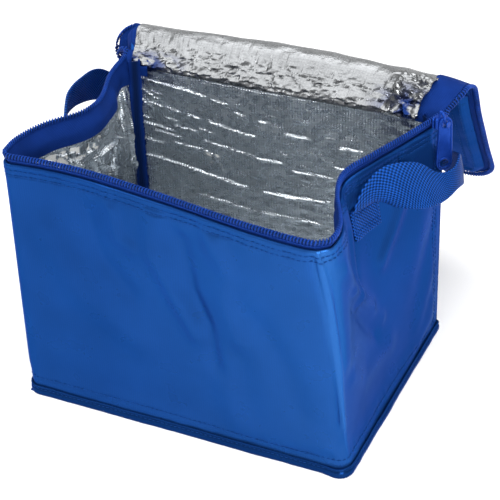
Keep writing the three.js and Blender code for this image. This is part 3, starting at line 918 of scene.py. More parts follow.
def add_wall_seams():
    runs = np.linspace(4, RUN_END - 4, 900)
    wall_seam("foot_seam", runs[25:-25], FOOT_SEAM, THREAD, -0.25)
    for number, row in enumerate(TOPSTITCH):
        wall_seam(f"topstitch_{number + 1}", runs, row, THREAD, 0.3 * top_fold(row) - 0.25)
    heights = np.linspace(HEM_TOP + 1.5, FABRIC_TOP - 10, 200)
    for number, margin in enumerate(REAR_SEAM):
        wall_seam(f"rear_seam_left_{number + 1}", margin, heights, THREAD, -0.25)
        wall_seam(f"rear_seam_right_{number + 1}", RUN_END - margin, heights, THREAD, -0.25)


def base_loop():
    """The base outline, with its outward directions and the distances along it.

    The front corners are round and the rear ones tight.
    """
    x, y = WIDTH / 2, DEPTH / 2
    points, outward = [], []
    for px, py, radius, quarter in (
        (-x, y, 1.0, 0.5), (-x, -y, CORNER_RADIUS, 1.0), (x, -y, CORNER_RADIUS, 1.5), (x, y, 1.0, 2.0),
    ):
        centre = np.array([px - math.copysign(radius, px), py - math.copysign(radius, py)])
        for angle in np.linspace(quarter, quarter + 0.5, 9) * math.pi:
            ray = np.array([math.cos(angle), math.sin(angle)])
            points.append(centre + ray * radius)
            outward.append(ray)
    points, outward = np.array([*points, points[0]]), np.array([*outward, outward[0]])
    reach = reach_of(points)
    where = np.linspace(0, reach[-1], round(reach[-1] / 2) + 1)
    where = np.unique(np.concatenate([where, reach]))
    return read_along(where, reach, points), unit(read_along(where, reach, outward)), where


# The hem's section: how far it stands out, and its height
HEM_SECTION = [
    (0.35, 6.5), (0.8, 6.75), (1.35, 6.45), (1.6, 5.9), (1.35, 5.35), (0.95, 4.95), (1.0, 4.5),
    (1.45, 4.1), (1.75, 3.2), (1.85, 2.0), (1.7, 0.7), (1.35, 0.1), (0.8, 0.0), (0.35, 0.05),
]


def add_hem():
    base, ray, where = base_loop()
    total = where[-1]
    section = np.array(HEM_SECTION)
    wave = 0.16 * noise(where / 6, 0 * where, 31) + 0.2 * noise(where / 21, 0 * where, 32)
    wave *= window(where, 0, 8, total - 8, total)
    lip = 1.1 * np.exp(-((where - (DEPTH + WIDTH - 8)) / 7) ** 2)
    out = section[None, :, 0] + ((wave + lip)[:, None]) * smooth(section[None, :, 0], 0.4, 1.3)
    flat = base[:, None] + ray[:, None] * out[..., None]
    rise = section[None, :, 1] + 0.25 * noise(where / 9, 0 * where, 33)[:, None] * (section[None, :, 1] > 5)
    points = np.concatenate([flat, np.broadcast_to(rise, flat.shape[:2])[..., None]], -1)[:-1]
    rows, columns = points.shape[:2]
    index = np.arange(rows * columns).reshape(rows, columns)
    index = np.vstack([index, index[:1]])
    index = np.hstack([index, index[:, :1]])
    faces = np.stack([index[:-1, :-1], index[:-1, 1:], index[1:, 1:], index[1:, :-1]], -1).reshape(-1, 4)
    uv = np.stack(grid(where[:-1], reach_of(section)), -1).reshape(-1, 2)
    hem = make("base_hem", points.reshape(-1, 3), faces, WELT, uv, None)
    attach(hem, "body", "outer_fabric", "base_welt")
    path = np.column_stack([base + ray * 0.8, np.full(len(base), 4.75)])
    sewn = stitches("hem_stitches", path, np.column_stack([ray, 0 * where]), THREAD, 3.0, 2.2)
    attach(sewn, "body", "outer_fabric")


def flat_sheet(name, inset, bottom, top, material, step, seed, swell):
    """A level sheet with slight waves, set in from the outline of the base."""
    half_x, half_y = WIDTH / 2 - inset, DEPTH / 2 - inset
    x, y = grid(spaced([-half_x, half_x], [step]), spaced([-half_y, half_y], [step]))
    wave = swell * noise(x / 23, y / 19, seed)
    wave = wave * window(x, -half_x, 6 - half_x, half_x - 6, half_x)
    wave = wave * window(y, -half_y, 6 - half_y, half_y - 6, half_y)
    upper = np.stack([x, y, top + wave], -1)
    lower = np.stack([x, y, bottom + wave], -1)
    return slab(name, upper, lower, x, y, material)


def add_base():
    panel = flat_sheet("base_panel_cloth", 0.4, 0.15, 0.7, CLOTH, 4, 41, 0.1)
    attach(panel, "body", "outer_fabric", "base_panel")
    pad = flat_sheet("base_foam_pad", 1.5, 1.2, 3.9, FOAM_WHITE_SHEET, 6, 42, 0.1)
    attach(pad, "body", "foam", "base_foam")
    bottom = BASE_FOIL_TOP - FILM_THICKNESS
    liner = flat_sheet("base_film", FOIL[1] + 0.8, bottom, BASE_FOIL_TOP, FILM, 1.6, 43, 0.3)
    attach(liner, "body", "foil", "base_foil")


# ---- Body: foam and film lining ----------------------------------------------------------

def add_wall_foam():
    turn = CORNER_RADIUS + 0.5
    rear = DEPTH / 2 - high("foam_left", Y)
    for name, start, end in (
        ("foam_left", rear, FRONT_START - turn),
        ("foam_front", FRONT_START - CORNER_RADIUS, FRONT_END + CORNER_RADIUS),
        ("foam_right", FRONT_END + turn, RUN_END - rear),
    ):
        run, height = grid(spaced([start, end], [2]), spaced([low(name, Z), FOAM_TOP], [2.5]))
        thin = smooth(height, FOAM_TOP - 8, FOAM_TOP) * 1.2
        pad = wall_slab(name + "_pad", run, height, FOAM[0] + 0.4, FOAM[1] - thin, FOAM_WHITE_SHEET)
        attach(pad, "body", "foam", name)


# Creases of the wall film: height, half width, and points in run and height
SIDE_CREASES = [
    (0.7, 0.8, [(18.5, 156), (17, 122), (14, 90)]),
    (0.5, 0.6, [(15.5, 156), (13, 113), (9, 80)]),
    (0.4, 0.5, [(21.5, 150), (20, 126)]),
    (0.9, 0.9, [(74, 131), (58, 130), (43, 127)]),
    (0.9, 0.8, [(43, 127), (54, 120), (63, 112)]),
    (0.8, 0.8, [(43, 127), (44, 116), (44, 98)]),
    (0.7, 0.8, [(76, 131), (74, 125), (70, 116)]),
    (0.6, 0.9, [(73, 127), (60, 114), (43, 104)]),
    (0.7, 0.9, [(95, 140), (84, 130), (80, 112)]),
    (0.8, 1.0, [(120, 146), (112, 128), (116, 104)]),
    (0.8, 1.2, [(416, 146), (424, 118), (418, 84)]),
    (0.7, 1.0, [(470, 142), (462, 110), (474, 76)]),
    (0.7, 1.0, [(505, 150), (500, 120), (510, 90)]),
    (0.6, 1.0, [(240, 150), (246, 120), (236, 90)]),
    (0.6, 1.0, [(310, 144), (322, 112), (316, 80)]),
]


def film_relief(run, height):
    """How far the wall film stands back towards the foam."""
    relief = 3.0 * ridges(run, height, SIDE_CREASES)
    relief += 0.35 * crumple(run, height * 0.8, 13, 51)
    shine = window(height, 130, 139, 144, 148) * window(run, 56, 76, 150, 168)
    relief += 2.1 * shine * crumple(run, height, 3.6, 55)
    pleats = window(run, 8, 11, 22, 30) * smooth(height, 60, 120)
    relief += 0.4 * pleats * np.cos(run * 2 * math.pi / 2.6)
    return relief * window(height, 4, 12, 144, 149)


def add_wall_film():
    start = FOIL[1] + 1.2
    runs = spaced([start, 30, FRONT_START - 12, RUN_END - start], [0.7, 1.2, 1.4])
    heights = spaced([BASE_FOIL_TOP + 0.4, HEIGHT - 9], [1.3])
    run, height = grid(runs, heights)
    level = FOIL[1] - 0.4 - 0.9 * smooth(height, FOAM_TOP - 6, FOAM_TOP)
    level = level + film_relief(run, height)
    film_wrap = wall_slab("wall_film", run, height, level, level + 0.25, FILM)
    attach(film_wrap, "body", "foil", "foil_wrap")


# Bright folds across the rear lining: height, half width, and points in X and height
REAR_CREASES = [
    (0.9, 0.75, [(-101, 152), (-85, 150.4), (-64, 149), (-52, 147)]),
    (0.8, 0.6, [(-46, 146), (-36, 144)]),
    (0.8, 0.6, [(-30, 139.5), (-23, 137.5)]),
    (0.8, 0.6, [(-13, 136.5), (-7, 136)]),
    (0.9, 0.6, [(-99, 144), (-92, 140.5), (-88, 138)]),
    (0.7, 0.5, [(-92, 143.5), (-84, 142)]),
    (0.9, 0.6, [(-101, 136.5), (-95, 133), (-91, 130)]),
    (0.8, 0.6, [(-94, 135), (-84, 133)]),
    (0.8, 0.6, [(-81, 133.4), (-71, 131.6)]),
    (0.9, 0.7, [(-101, 123), (-94, 122.4)]),
    (0.7, 0.6, [(-82, 125), (-73, 124)]),
    (0.8, 0.6, [(-66, 131), (-56, 130)]),
    (0.9, 0.7, [(-50, 129), (-32, 126), (-17, 124)]),
    (1.0, 0.7, [(-100, 118), (-85, 117), (-77, 115.6)]),
    (0.8, 0.6, [(-76, 120.4), (-59, 119)]),
    (0.7, 0.6, [(-58, 122), (-47, 120.6)]),
    (0.9, 0.7, [(-91, 113.2), (-83, 113), (-72, 111)]),
    (0.9, 0.7, [(-101, 106), (-85, 104)]),
    (0.8, 0.7, [(-79, 107), (-67, 106), (-54, 105), (-49, 103), (-41, 91)]),
    (0.8, 0.7, [(-55, 113), (-31, 110), (-15, 107.6), (2, 107.6)]),
    (1.1, 0.9, [(-100, 93), (-87, 92), (-69, 89.4), (-52, 87), (-24, 83)]),
    (0.9, 0.7, [(-12, 83), (14, 82.6)]),
    (0.9, 0.7, [(5, 131), (22, 130.4)]),
    (0.8, 0.6, [(10, 103), (22, 104), (39, 104)]),
    (0.9, 0.7, [(5, 83), (20, 84), (36, 85)]),
    (0.8, 0.6, [(43, 128), (59, 129)]),
    (0.7, 0.6, [(2, 116), (8, 114)]),
    (0.8, 0.7, [(40, 113), (62, 112)]),
    (0.8, 0.7, [(52, 97), (84, 95)]),
    (0.8, 0.8, [(-60, 70), (-20, 66), (30, 67)]),
    (0.8, 0.8, [(-90, 48), (-50, 45), (-10, 46)]),
    (0.7, 0.7, [(10, 50), (50, 47), (80, 50)]),
]


def rear_relief(x, height):
    """How far the rear lining stands out into the bag."""
    relief = 1.3 * ridges(x, height, REAR_CREASES)
    relief += 1.1 * noise(x / 55, height / 26, 61)
    ripple = window(x, -40, 30, 96, 104) * window(height, 20, 50, 130, 150)
    relief += ripple * 0.34 * noise(x / 9, height / 1.9, 62)
    relief += 0.22 * crumple(x * 0.6, height, 6, 64)
    return relief * window(height, 5, 12, HEIGHT - 12, HEIGHT - 6) * window(x, -106, -99, 99, 106)


# The top of the rear film, measured from the rim
REAR_FILM_TOP = -8


def add_rear_lining():
    half = WIDTH / 2 - FOIL[1] - 0.8
    heights = spaced([BASE_FOIL_TOP + 0.4, HEIGHT + REAR_FILM_TOP], [0.55])
    x, height = grid(spaced([-half, half], [1.3]), heights)
    face = DEPTH / 2 - FOIL[1] - rear_relief(x, height)
    front = np.stack([x, face, height], -1)
    back = np.stack([x, face + FILM_THICKNESS, height], -1)
    film_back = slab("rear_film", front, back, x, height, REAR_FILM)
    attach(film_back, "body", "foil", "foil_back")
    half = WIDTH / 2 - 1.6
    x, height = grid(spaced([-half, half], [5]), spaced([low("foam_back", Z), FOAM_TOP], [5]))
    front = np.stack([x, DEPTH / 2 - FOAM[1] + 0.2 + 0 * x, height], -1)
    back = np.stack([x, DEPTH / 2 - FOAM[0] + 0 * x, height], -1)
    pad = slab("foam_back_pad", front, back, x, height, FOAM_WHITE_SHEET)
    attach(pad, "body", "foam", "foam_back")


def add_corner_bindings():
    """Folded tape over each rear inside seam: a rounded strip that stands off the corner."""
    for side, name in ((-1, "left"), (1, "right")):
        heights = spaced([BASE_FOIL_TOP + 0.8, HEIGHT - 3], [2.2])
        height, angle = grid(heights, np.linspace(-0.25, 1.25, 22) * math.pi)
        sway = 0.9 * noise(height / 38, 0 * height, 71 + side) * window(height, 6, 30, 140, 160)
        half_wide, half_deep = 4.2 + 0.4 * noise(height / 9, angle, 73), 1.9
        centre_x = WIDTH / 2 - 7.6 - 1.2 * smooth(height, HEIGHT - 26, HEIGHT - 3) + sway
        faces = []
        for shrink in (0, 0.5):
            wide, deep = (half_wide - shrink) * np.cos(angle), (half_deep - shrink) * np.sin(angle)
            x = side * (centre_x + wide * 0.75 - deep * 0.6)
            faces.append(np.stack([x, DEPTH / 2 - 7.0 - deep * 0.8 - wide * 0.66, height], -1))
        outer, inner = faces[::-side]
        strip = slab(f"corner_binding_{name}", outer, inner, height, angle * 3, BINDING)
        attach(strip, "body", "binding", f"binding_{name}")


# ---- Rim zip -----------------------------------------------------------------------------

def tape_inset(height):
    """The tape leans from the lining, inside, to the coil, above the fabric's edge."""
    return 0.9 + 4.0 * (1 - smooth(height, HEIGHT - 14, HEIGHT - 2.6))


def add_rim_zip():
    start = 5.5
    runs = spaced([start, FRONT_END - 24, FRONT_END + 18, RUN_END - start], [1.6, 0.9, 1.6])
    heights = spaced([HEIGHT - 19.5, HEIGHT - 12, HEIGHT - 3.0], [1.5, 0.7])
    run, height = grid(runs, heights)
    wave = 0.3 * noise(run / 16, height / 9, 81) * (1 - smooth(height, HEIGHT - 12, HEIGHT - 8))
    inset = tape_inset(height) + wave
    tape = wall_slab("zip_tape_rim", run, height, inset, inset + TAPE_THICKNESS, TAPE)
    attach(tape, "body", "zip_tape", "zip_tape_body")
    path_runs = np.linspace(start, RUN_END - start, 1400)
    out = sample(WALL_OUT, path_runs, np.full(len(path_runs), COIL_HEIGHT))
    attach_coil(coil("zip_coil_rim", wall(path_runs, COIL_HEIGHT, 1.1), out), "body", "zip_coil_body")
    wall_seam("coil_thread", path_runs, HEIGHT - 4.1, TAPE_THREAD, -0.95, 2.2)


# ---- Lid ---------------------------------------------------------------------------------
# The lid is one ribbon: X runs across it, and its station runs from below the hinge, over the
# crest, to its free edge. Its level is the distance towards the lining side.

STATION_STEP = 0.25


def lid_spine():
    """The lid's line in Y and Z: up the rear wall, over the crest and down to the free edge."""
    stations = np.arange(-HEIGHT, LID_END + 20, STATION_STEP)
    turns = np.radians([90, *CREST_ANGLES])
    stops = np.array([0, CREST_STRIP, 2 * CREST_STRIP])
    angle = turns[np.searchsorted(stops, stations, side="right")]
    y = np.cumsum(np.cos(angle)) * STATION_STEP
    z = np.cumsum(np.sin(angle)) * STATION_STEP
    hinge = np.searchsorted(stations, 0)
    y, z = y - y[hinge] + DEPTH / 2, z - z[hinge] + HEIGHT

    def soften(values, reach):
        """Running mean over reach on either side."""
        half = round(reach / STATION_STEP)
        padded = np.pad(values, half, mode="reflect", reflect_type="odd")
        return np.convolve(padded, np.ones(2 * half + 1) / (2 * half + 1), mode="valid")

    mixed = smooth(stations, 4, 14)
    y = soften(y, 3.5) * (1 - mixed) + soften(y, 9) * mixed
    z = soften(z, 3.5) * (1 - mixed) + soften(z, 9) * mixed
    return stations, y, z


SPINE = lid_spine()
LID_SPREAD = 0.05
CREST_LIFT = 5.0


def lid_place(x, station, level):
    """Points of the lid, with the lift of the crest and the waves of the panel."""
    x, station, level = np.broadcast_arrays(np.asarray(x, float), station, level)
    stations, y, z = SPINE
    slope_y, slope_z = np.gradient(y, STATION_STEP), np.gradient(z, STATION_STEP)
    py, pz = np.interp(station, stations, y), np.interp(station, stations, z)
    dy, dz = np.interp(station, stations, slope_y), np.interp(station, stations, slope_z)
    size = np.hypot(dy, dz)
    lift = CREST_LIFT * (1 - np.minimum(np.abs(x) / 125, 1) ** 2) * window(station, 0, 14, 24, 50)
    lift += 0.8 * noise(x / 37, station / 30, 91) * window(station, 2, 12, 30, 50)
    wave = 1.6 * noise(x / 48, station / 37, 92) * smooth(station, 40, 70)
    wave -= 1.5 * (np.abs(x) / 110) ** 4 * smooth(station, 40, 80)
    level = level + wave
    spread_x = x * (1 + LID_SPREAD * smooth(station, -2, 20))
    return np.stack([spread_x, py - level * dz / size, pz + level * dy / size + lift], -1)


def lid_face(x, station):
    """Directions of the lid's lining side."""
    return unit(lid_place(x, station, 1.0) - lid_place(x, station, 0.0))


# The lid's outer fabric: the station where it starts, and the panel's edge and corner radius
OUTER_START = -9
CLOTH_EDGE = LID_EDGE - 4
CLOTH_CORNER = 13


def outer_level(station):
    return -3.6 * smooth(station, -8, 2) - 1.4 * smooth(station, 36, 50)


def film_level(station):
    return -1.2 + (FOIL[1] + 1.2) * (1 - smooth(station, -9, 2))


# Stretches of the bend: name, last station, the nodes that its cloth and its film replace, the two
# bodies that it joins, and the Y and Z where it starts and ends its turn from one to the other
STRETCHES = [
    ("hinge", 10, [], [], ("body", "crest_low"), ((80.0, 162.0), (85.2, 171.0))),
    ("crest", 30, ["crest_low_outer"], ["crest_low_foil"], ("crest_low", "crest_high"),
     ((92.1, 175.0), (103.0, 176.0))),
    ("shoulder", 50, ["crest_high_outer"], ["crest_high_foil"], ("crest_high", "lid"),
     ((110.5, 173.2), (119.1, 166.0))),
]


def hang(piece, number, slot, *nodes):
    """Bakes a piece of one stretch of the bend into place and hides the nodes it replaces."""
    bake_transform(piece)
    if nodes:
        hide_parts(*nodes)


def outer_detail(x, station):
    """Soft folds of the lid's outer fabric, in towards the bag."""
    folds = 0.5 * noise(x / 14, station / 11, 95) * window(station, -8, 4, 36, 60)
    folds += 0.3 * crumple(x, station, 24, 96) * smooth(station, 30, 60)
    return folds


def film_detail(x, station):
    """Crumples and gathers of the lid's film, out from the lid."""
    hinge = window(station, -10, -5, 3, 12)
    relief = 0.9 * hinge * (1 + crumple(x * 0.5, station, 3.2, 101))
    gathers = window(station, 0, 6, 12, 26)
    relief += 0.5 * gathers * crumple(x, station * 0.35, 5.5, 104)
    relief += 0.5 * window(station, 4, 20, 34, 50) * noise(x / 12, station / 8, 105)
    corner = smooth(x, 64, 78) * window(station, -10, -4, 14, 24)
    relief += corner * (2.8 * (1.1 + crumple(x, station, 9, 107)) + 0.8 * crumple(x, station, 3.5, 112))
    relief += 0.35 * smooth(station, 30, 60) * crumple(x, station, 10, 110)
    return relief


def lid_half(station, half, end, radius):
    """Half width of a panel with two round corners at its free end."""
    past = np.clip(station - (end - radius), 0, radius)
    return half - radius + np.sqrt(np.maximum(radius ** 2 - past ** 2, 0))


def ribbon(name, stations, half_left, half_right, level, thickness, detail, material, step):
    """A sheet of the lid between two half widths, which may vary with the station."""
    count = round((np.max(half_left) + np.max(half_right)) / step)
    share = np.linspace(0, 1, count + 1)[:, None]
    station = np.asarray(stations)[None, :]
    x = -half_left + (half_left + half_right) * share + 0 * station
    station = station + 0 * x
    relief = detail(x, station)
    top = lid_place(x, station, level(station) + relief + thickness)
    bottom = lid_place(x, station, level(station) + relief)
    return slab(name, top, bottom, x, station, material)


def add_outer_lid():
    half = WIDTH / 2 - 1.2
    stations = spaced([1.1 - HEIGHT, -24, OUTER_START], [3.0, 1.2])
    back = ribbon("rear_panel_cloth", stations, WIDTH / 2, WIDTH / 2, outer_level, FABRIC,
                  back_detail, CLOTH, 2.0)
    attach(back, "body", "outer_fabric", "back_panel")
    start = OUTER_START
    for number, (name, end, nodes, *_) in enumerate(STRETCHES):
        piece = ribbon(f"{name}_cloth", spaced([start, end], [0.9]), half, half, outer_level, FABRIC,
                       outer_detail, CLOTH, 1.6)
        hang(piece, number, "outer_fabric", *nodes)
        start = end
    stations = spaced([start, LID_END - CLOTH_CORNER - 1, LID_END], [1.6, 0.8])
    wide = lid_half(stations, CLOTH_EDGE, LID_END, CLOTH_CORNER)
    shell = ribbon("lid_cloth", stations, wide, wide, outer_level, FABRIC, lid_detail, CLOTH, 1.7)
    attach(shell, "lid", "outer_fabric", "lid_outer")


def back_detail(x, station):
    """Soft folds and the seams of the rear panel."""
    height = station + HEIGHT
    folds = 1.2 * noise(x / 52, height / 41, 97) + 0.35 * crumple(x * 0.5, height, 34, 98)
    held = window(x, -110, -96, 96, 110) * window(height, 4, 26, HEIGHT - 24, HEIGHT - 12)
    return -np.abs(folds) * held * 0.8 - seam_pucker(height, np.abs(x) - WIDTH / 2 + REAR_SEAM[0], 99)


def lid_detail(x, station):
    """Folded edge and its stitch row, seen on the outer side."""
    edge = lid_half(station, CLOTH_EDGE, LID_END, CLOTH_CORNER) - np.abs(x)
    edge = np.minimum(edge, LID_END - station)
    fold = -0.5 * (1 - smooth(edge, 7, 9)) + 3.4 * (1 - smooth(edge, 0, 5)) * smooth(station, 50, 58)
    return outer_detail(x, station) + fold - seam_pucker(x + station, edge - 5.5, 100)


# How far the film of the bend goes to the left and to the right
FILM_REACH = [105, 95]


def add_film_lid():
    start = REAR_FILM_TOP - 1
    for number, (name, end, _, nodes, *_) in enumerate(STRETCHES):
        piece = ribbon(f"{name}_film", spaced([start, end], [0.45]), *FILM_REACH, film_level,
                       FILM_THICKNESS, film_detail, LID_FILM, 1.1)
        hang(piece, number, "foil", *nodes)
        start = end
    end = LID_END - 3
    stations = spaced([start, end - 10, end], [1.2, 0.7])
    wide = lid_half(stations, LID_EDGE - 7, end, 10)
    panel = ribbon("lid_film", stations, wide, wide, film_level, FILM_THICKNESS, film_detail, LID_FILM, 1.5)
    attach(panel, "lid", "foil", "lid_foil")
    stations = spaced([start - 2, end - 11, end - 1], [4, 2])
    wide = lid_half(stations, LID_EDGE - 8, end - 1, 10)
    pad = ribbon("lid_foam_pad", stations, wide, wide, lambda s: outer_level(s) + 1.1, 2.2,
                 lambda x, s: 0 * x, FOAM_WHITE_SHEET, 4)
    attach(pad, "lid", "foam", "lid_foam")


# The side tape of the lid starts at the film's edge; on the left it curls over into a roll.
# Its radius, the length of tape in it, the stations where it tightens and loosens, and where its
# two pieces start and end
CURL_RADIUS = 10
CURL_REACH = 58
CURL_STATIONS = [0, 8, 20, 31]
ROLL_START, ROLL_SPLIT, ROLL_END = 1, 20, 31


# How far the lid's coil is from its tape: out past the edge, and down towards the outer fabric
COIL_OUT = 1.4
COIL_UNDER = 0.6


def side_place(side, t, station, level):
    """Points of the side tapes; t is the distance across, from the film outwards."""
    if side > 0:
        drop = -2.2 * (t / TAPE_WIDTH) ** 2 * window(station, -4, 8, 30, 50)
        return lid_place(LID_EDGE - TAPE_WIDTH + t, station, level + drop)
    curl = window(station, *CURL_STATIONS)
    bend = curl / CURL_RADIUS + 1e-4
    t_wide = t * (1 + (CURL_REACH / TAPE_WIDTH - 1) * curl)
    radius = (1 - 0.08 * curl * bend * t_wide) / bend
    reach, drop = radius * np.sin(bend * t_wide), 1 / bend - radius * np.cos(bend * t_wide)
    edge = LID_EDGE - TAPE_WIDTH + 12 * curl
    under = 1.6 * window(station, -8, 0, 40, 50)
    return lid_place(-(edge + reach), station, level - drop - under)


def tape_level(station):
    """The tapes lie against the film, and behind the hinge they go in to the lining."""
    return -0.7 + (FOIL[1] + 1.4) * (1 - smooth(station, -9, 2))


def side_pieces(side, name, start, end):
    """The side tape and its coil between two stations."""
    t = np.linspace(0, TAPE_WIDTH, 22)[:, None]
    station = spaced([start, end], [0.9])[None, :] + 0 * t
    level = tape_level(station)
    upper, lower = (side_place(side, t + 0 * station, station, level + up) for up in (TAPE_THICKNESS, 0))
    if side < 0:
        upper, lower = lower, upper
    tape = slab(name + "_tape", upper, lower, station, t, TAPE)
    line = np.linspace(start, end, 120)
    level = tape_level(line)
    path = side_place(side, TAPE_WIDTH + COIL_OUT, line, level - COIL_UNDER)
    face = unit(side_place(side, TAPE_WIDTH, line, level + 1) - side_place(side, TAPE_WIDTH, line, level))
    return tape, coil(name + "_coil", path, face)


def hang_side(pieces, number):
    tape, coils = pieces
    hang(tape, number, "zip_tape")
    for piece in coils:
        hang(piece, number, "zip_coil")


def add_roll(name, body, start, end):
    """A length of the rolled tape, attached to a body, with meshes of its own."""
    tape, coils = side_pieces(-1, name, start, end)
    attach(tape, body, "zip_tape")
    attach_coil(coils, body)
    first, last = lid_place(-LID_EDGE, np.array([start, end]), 0)
    for piece in (tape, *coils):
        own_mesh(piece)


def add_side_tapes():
    start = -9
    for number, (name, end, *_) in enumerate(STRETCHES):
        hang_side(side_pieces(1, name + "_right", start, end), number)
        start = end
    hang_side(side_pieces(-1, "hinge_left", -14, ROLL_START), 0)
    add_roll("roll_left", "crest_low", ROLL_START, ROLL_SPLIT)
    add_roll("roll_left_rear", "crest_high", ROLL_SPLIT, ROLL_END)
    hang_side(side_pieces(-1, "shoulder_left", ROLL_END, STRETCHES[-1][1]), 2)


def lid_outline(inset):
    """Path round the lid's free edges, with the same number of points for every inset."""
    half, end, radius = LID_EDGE - inset, LID_END + 4 - inset, LID_CORNER - inset
    first = STRETCHES[-1][1]
    side = np.linspace(first, end - radius, 60)[:-1]
    turn = np.linspace(0, math.pi / 2, 22)
    right = np.concatenate([
        np.stack([np.full(len(side), half), side], -1),
        np.stack([half - radius + radius * np.cos(turn), end - radius + radius * np.sin(turn)], -1)])
    left = right[::-1] * [-1, 1]
    front = np.linspace(half - radius, radius - half, 90)[1:-1]
    across = np.stack([front, np.full(len(front), end)], -1)
    return np.concatenate([right, across, left])


def add_lid_zip():
    insets = np.linspace(0, TAPE_WIDTH, 20)
    lines = np.stack([lid_outline(inset) for inset in insets], 1)
    x, station = lines[..., 0], lines[..., 1]
    wave = 0.25 * noise(x / 17, station / 13, 121)
    level = tape_level(station) + wave
    upper, lower = (lid_place(x, station, level + up) for up in (TAPE_THICKNESS, 0))
    reach = reach_of(lid_outline(0))
    band = slab("lid_tape", upper, lower, reach[:, None] + 0 * x, insets[None, :] + 0 * x, TAPE)
    attach(band, "lid", "zip_tape", "zip_tape_lid")
    x, station = lid_outline(-COIL_OUT).T
    path = lid_place(x, station, tape_level(station) - COIL_UNDER)
    attach_coil(coil("lid_coil", path, lid_face(x, station)), "lid", "zip_coil_lid")
    for number, (inset, under) in enumerate(((9.5, True), (14.5, True), (15.5, False))):
        x, station = lid_outline(inset).T
        face = lid_face(x, station)
        if under:
            level, face = outer_level(station) + lid_detail(x, station) - 0.1, -face
        else:
            level = tape_level(station) + 0.35
        sewn = stitches(f"lid_seam_{number + 1}", lid_place(x, station, level), face, THREAD)
        attach(sewn, "lid", "outer_fabric")


# ---- Handle ------------------------------------------------------------------------------
# Edges of the webbing loop, from the right sewn end, round behind the bag, to the left one

LOOP_UPPER = [
    (86.5, -13, 142), (90, -3, 156), (98, 10, 164), (111, 27, 160), (121.5, 38, 149), (128, 48, 148),
    (127, 61, 149), (121, 76, 142), (108, 91, 134), (84, 102, 141), (0, 105, 151), (-82, 105, 141),
    (-117, 98, 134), (-131, 78, 151), (-132, 54, 156), (-130, 34, 156), (-122, 16, 154), (-115, 0, 150),
    (-108.5, -9, 142),
]
LOOP_LOWER = [
    (96, 13, 142), (104, 10, 138), (115, 14, 136), (122.7, 22, 134), (127.5, 36, 132), (130, 51, 132),
    (128, 67, 125), (123, 82, 117), (112, 99, 109), (84, 105, 115), (0, 105, 127), (-82, 106, 116),
    (-117, 100, 109), (-131.5, 78, 127), (-135, 54, 136), (-133, 34, 139), (-126, 22, 140), (-115, 16, 140),
    (-104, 16, 142),
]
WEB_THICKNESS = 1.5
WEB_WIDTH = 25

# Where the sewn ends are from the front corners, and their stitch rows above their feet
SEWN_RUN = 84
SEWN_ROWS = [2.4, 5.2, 15.5, 18.3]


def curve_through(points, count):
    """Smooth curve through points, with count places that share the points' own spacing."""
    p = np.array(points, float)
    p = np.vstack([2 * p[0] - p[1], p, 2 * p[-1] - p[-2]])
    place = np.linspace(0, len(p) - 3, count)
    i = np.minimum(place.astype(int), len(p) - 4)
    t = (place - i)[:, None]
    a, b, c, d = p[i], p[i + 1], p[i + 2], p[i + 3]
    square, cubic = 2 * a - 5 * b + 4 * c - d, 3 * b - a - 3 * c + d
    return 0.5 * (2 * b + (c - a) * t + square * t ** 2 + cubic * t ** 3)


def weave(u, v):
    """Raised yarns of the webbing, with smooth selvedges."""
    raised = np.cos(u * 2 * math.pi / WEAVE_PITCH) * np.cos(v * 2 * math.pi / WEAVE_PITCH)
    return 0.22 * raised * window(v, 0.3, 1.4, WEB_WIDTH - 1.4, WEB_WIDTH - 0.3)


def edge_round(v):
    """Half thickness across the webbing, thin at its two edges."""
    side = np.clip(np.minimum(v, WEB_WIDTH - v) / 0.9, 0, 1)
    return WEB_THICKNESS / 2 * (0.35 + 0.65 * np.sqrt(1 - (1 - side) ** 2))


def across_web(step):
    """Places across the webbing, closer together at its edges."""
    return np.concatenate([[0, 0.3], np.arange(0.6, WEB_WIDTH - 0.4, step), [WEB_WIDTH - 0.3, WEB_WIDTH]])


def add_strap():
    upper, lower = curve_through(LOOP_UPPER, 1000), curve_through(LOOP_LOWER, 1000)
    reach = reach_of((upper + lower) / 2)
    along, across = np.arange(0, reach[-1], 0.55), across_web(0.55)
    upper, lower = read_along(along, reach, upper), read_along(along, reach, lower)
    share = (across / WEB_WIDTH)[None, :, None]
    middle = upper[:, None] * (1 - share) + lower[:, None] * share
    normal = direction(middle)
    u, v = grid(along, across)
    half = edge_round(v)
    cup = 0.5 * np.cos(v / WEB_WIDTH * math.pi) ** 2 * np.sin(u / 60)
    middle = middle + normal * cup[..., None]
    front = middle + normal * (half + weave(u, v))[..., None]
    back = middle - normal * (half + weave(u + WEAVE_PITCH / 2, v))[..., None]
    attach(slab("handle_webbing", front, back, u, v, WEB, None), "handle", "webbing", "handle_strap")


